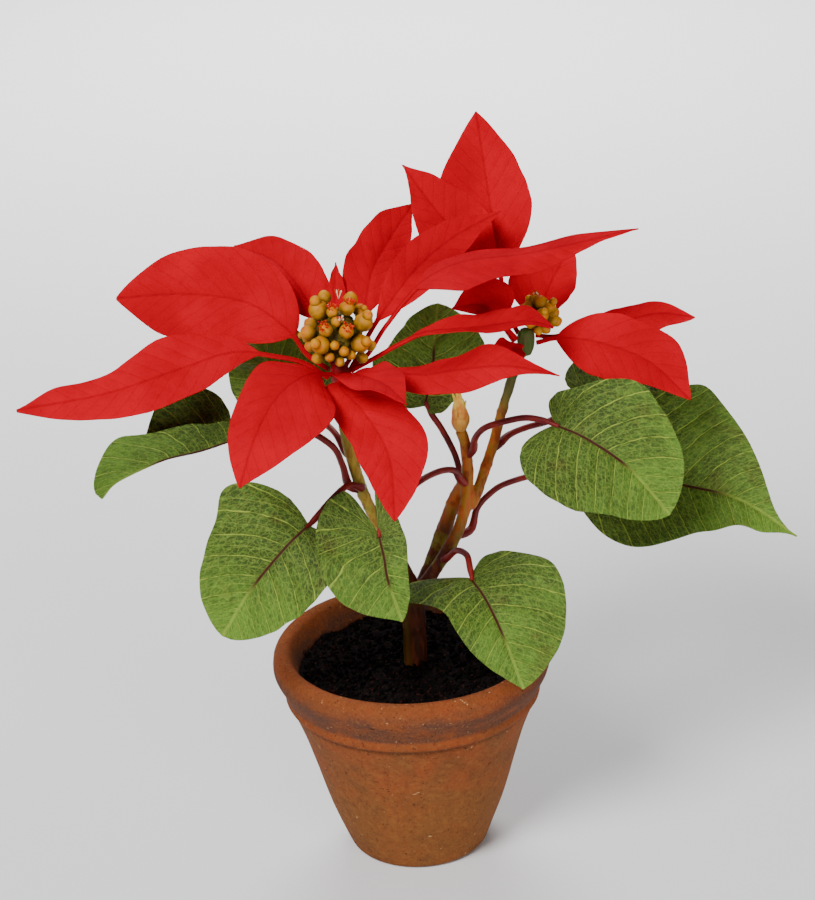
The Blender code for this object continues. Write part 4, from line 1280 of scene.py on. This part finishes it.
# %% Place the cups and the stamens
def copy_into(crowd, source, finish_index, place, axis, size, spin=0.0):
    """Add a copy of a small model to the crowd, turned from +Z to its axis."""
    first_vert, first_face = len(crowd.verts), len(crowd.faces)
    crowd.from_mesh(source.data)
    crowd.verts.ensure_lookup_table()
    crowd.faces.ensure_lookup_table()
    turn = axis.to_track_quat("Z", "Y").to_matrix() @ Matrix.Rotation(spin, 3, "Z")
    for vert in crowd.verts[first_vert:]:
        vert.co = (turn @ (vert.co * size) + place) * MM
    for face in crowd.faces[first_face:]:
        face.material_index = finish_index


def on_head(centre, reach, right, up):
    """The place on the head's ball that shows this far right and up, and its outward direction."""
    depth = math.sqrt(max(reach * reach - right * right - up * up, 0))
    outward = RIGHT * right + UP * up + NEAR * depth
    return Vector(centre) + outward, outward.normalized()


def add_stamens(crowd, root, axis, splay, count, finishes, sizes, draw):
    """Stamens that fan out round an axis from one root, in one finish after another."""
    for index in range(count):
        aside = RIGHT * math.cos(index * STAMEN_TURN) + UP * math.sin(index * STAMEN_TURN)
        finish = finishes[index % len(finishes)]
        copy_into(crowd, stamen, finish, root, (axis + splay * aside).normalized(), draw.uniform(*sizes))


def add_cup(crowd, place, outward, radius, kind, draw):
    axis = (outward + CUP_RISE).normalized()
    copy_into(crowd, cup, 0, place, axis, radius, draw.uniform(0, 6))
    mouth = place + axis * radius * 0.95
    if kind == "c":
        aside = Vector((draw.uniform(-0.3, 0.3), -0.3, 0.2)) * radius
        copy_into(crowd, gland, 0, mouth + aside * 0.6, (axis + GLAND_LEAN).normalized(), radius)
    if kind == "o":
        root = mouth - axis * radius * 0.4
        add_stamens(crowd, root, axis, 0.75, 9, (1,), (0.6 * radius, 0.9 * radius), draw)


def make_head(name, node, centre, reach, cups, tufts):
    draw = random.Random(5)
    crowd = bmesh.new()
    core = ball("core", 20, 14, lambda co: co * (1 + 0.18 * noise.noise(co * 3)))
    copy_into(crowd, core, 3, Vector(centre) - CORE_DROP, Vector((0, 0, 1)), reach * CORE_SHARE)
    for right, up, radius, kind in cups:
        place, outward = on_head(centre, reach, right, up)
        add_cup(crowd, place, outward, radius, kind, draw)
    for index in range(BACK_CUPS):
        turn = math.pi * (index + 0.5) / BACK_CUPS
        lean = math.radians(BACK_LEANS[index % 3])
        flat = Vector((math.cos(turn), math.sin(turn), 0))
        outward = flat * math.sin(lean) + Vector((0, 0, math.cos(lean)))
        place = Vector(centre) + outward * reach
        add_cup(crowd, place, outward, draw.uniform(2.6, 3.3), "cp"[index % 2], draw)
    for right, up in tufts:
        place, outward = on_head(centre, reach, right, up)
        add_stamens(crowd, place - outward, outward + TUFT_RISE, 0.5, 8, (1, 2), (1.9, 2.7), draw)
    crowd.to_mesh(core.data)
    crowd.free()
    core.name = name
    smooth_faces(core, 50)
    register(core, node, "cyathia", cup_skin, stamen_red, stamen_cream, head_core_and_shade)
    print(name, "faces", len(core.data.polygons))


make_head("flowers_left", "cyathia_left", LEFT_HEAD, LEFT_REACH, LEFT_CUPS, LEFT_TUFTS)
make_head("flowers_right", "cyathia_right", RIGHT_HEAD, RIGHT_REACH, RIGHT_CUPS, RIGHT_TUFTS)
for model in (cup, gland, stamen):
    bpy.data.objects.remove(model)
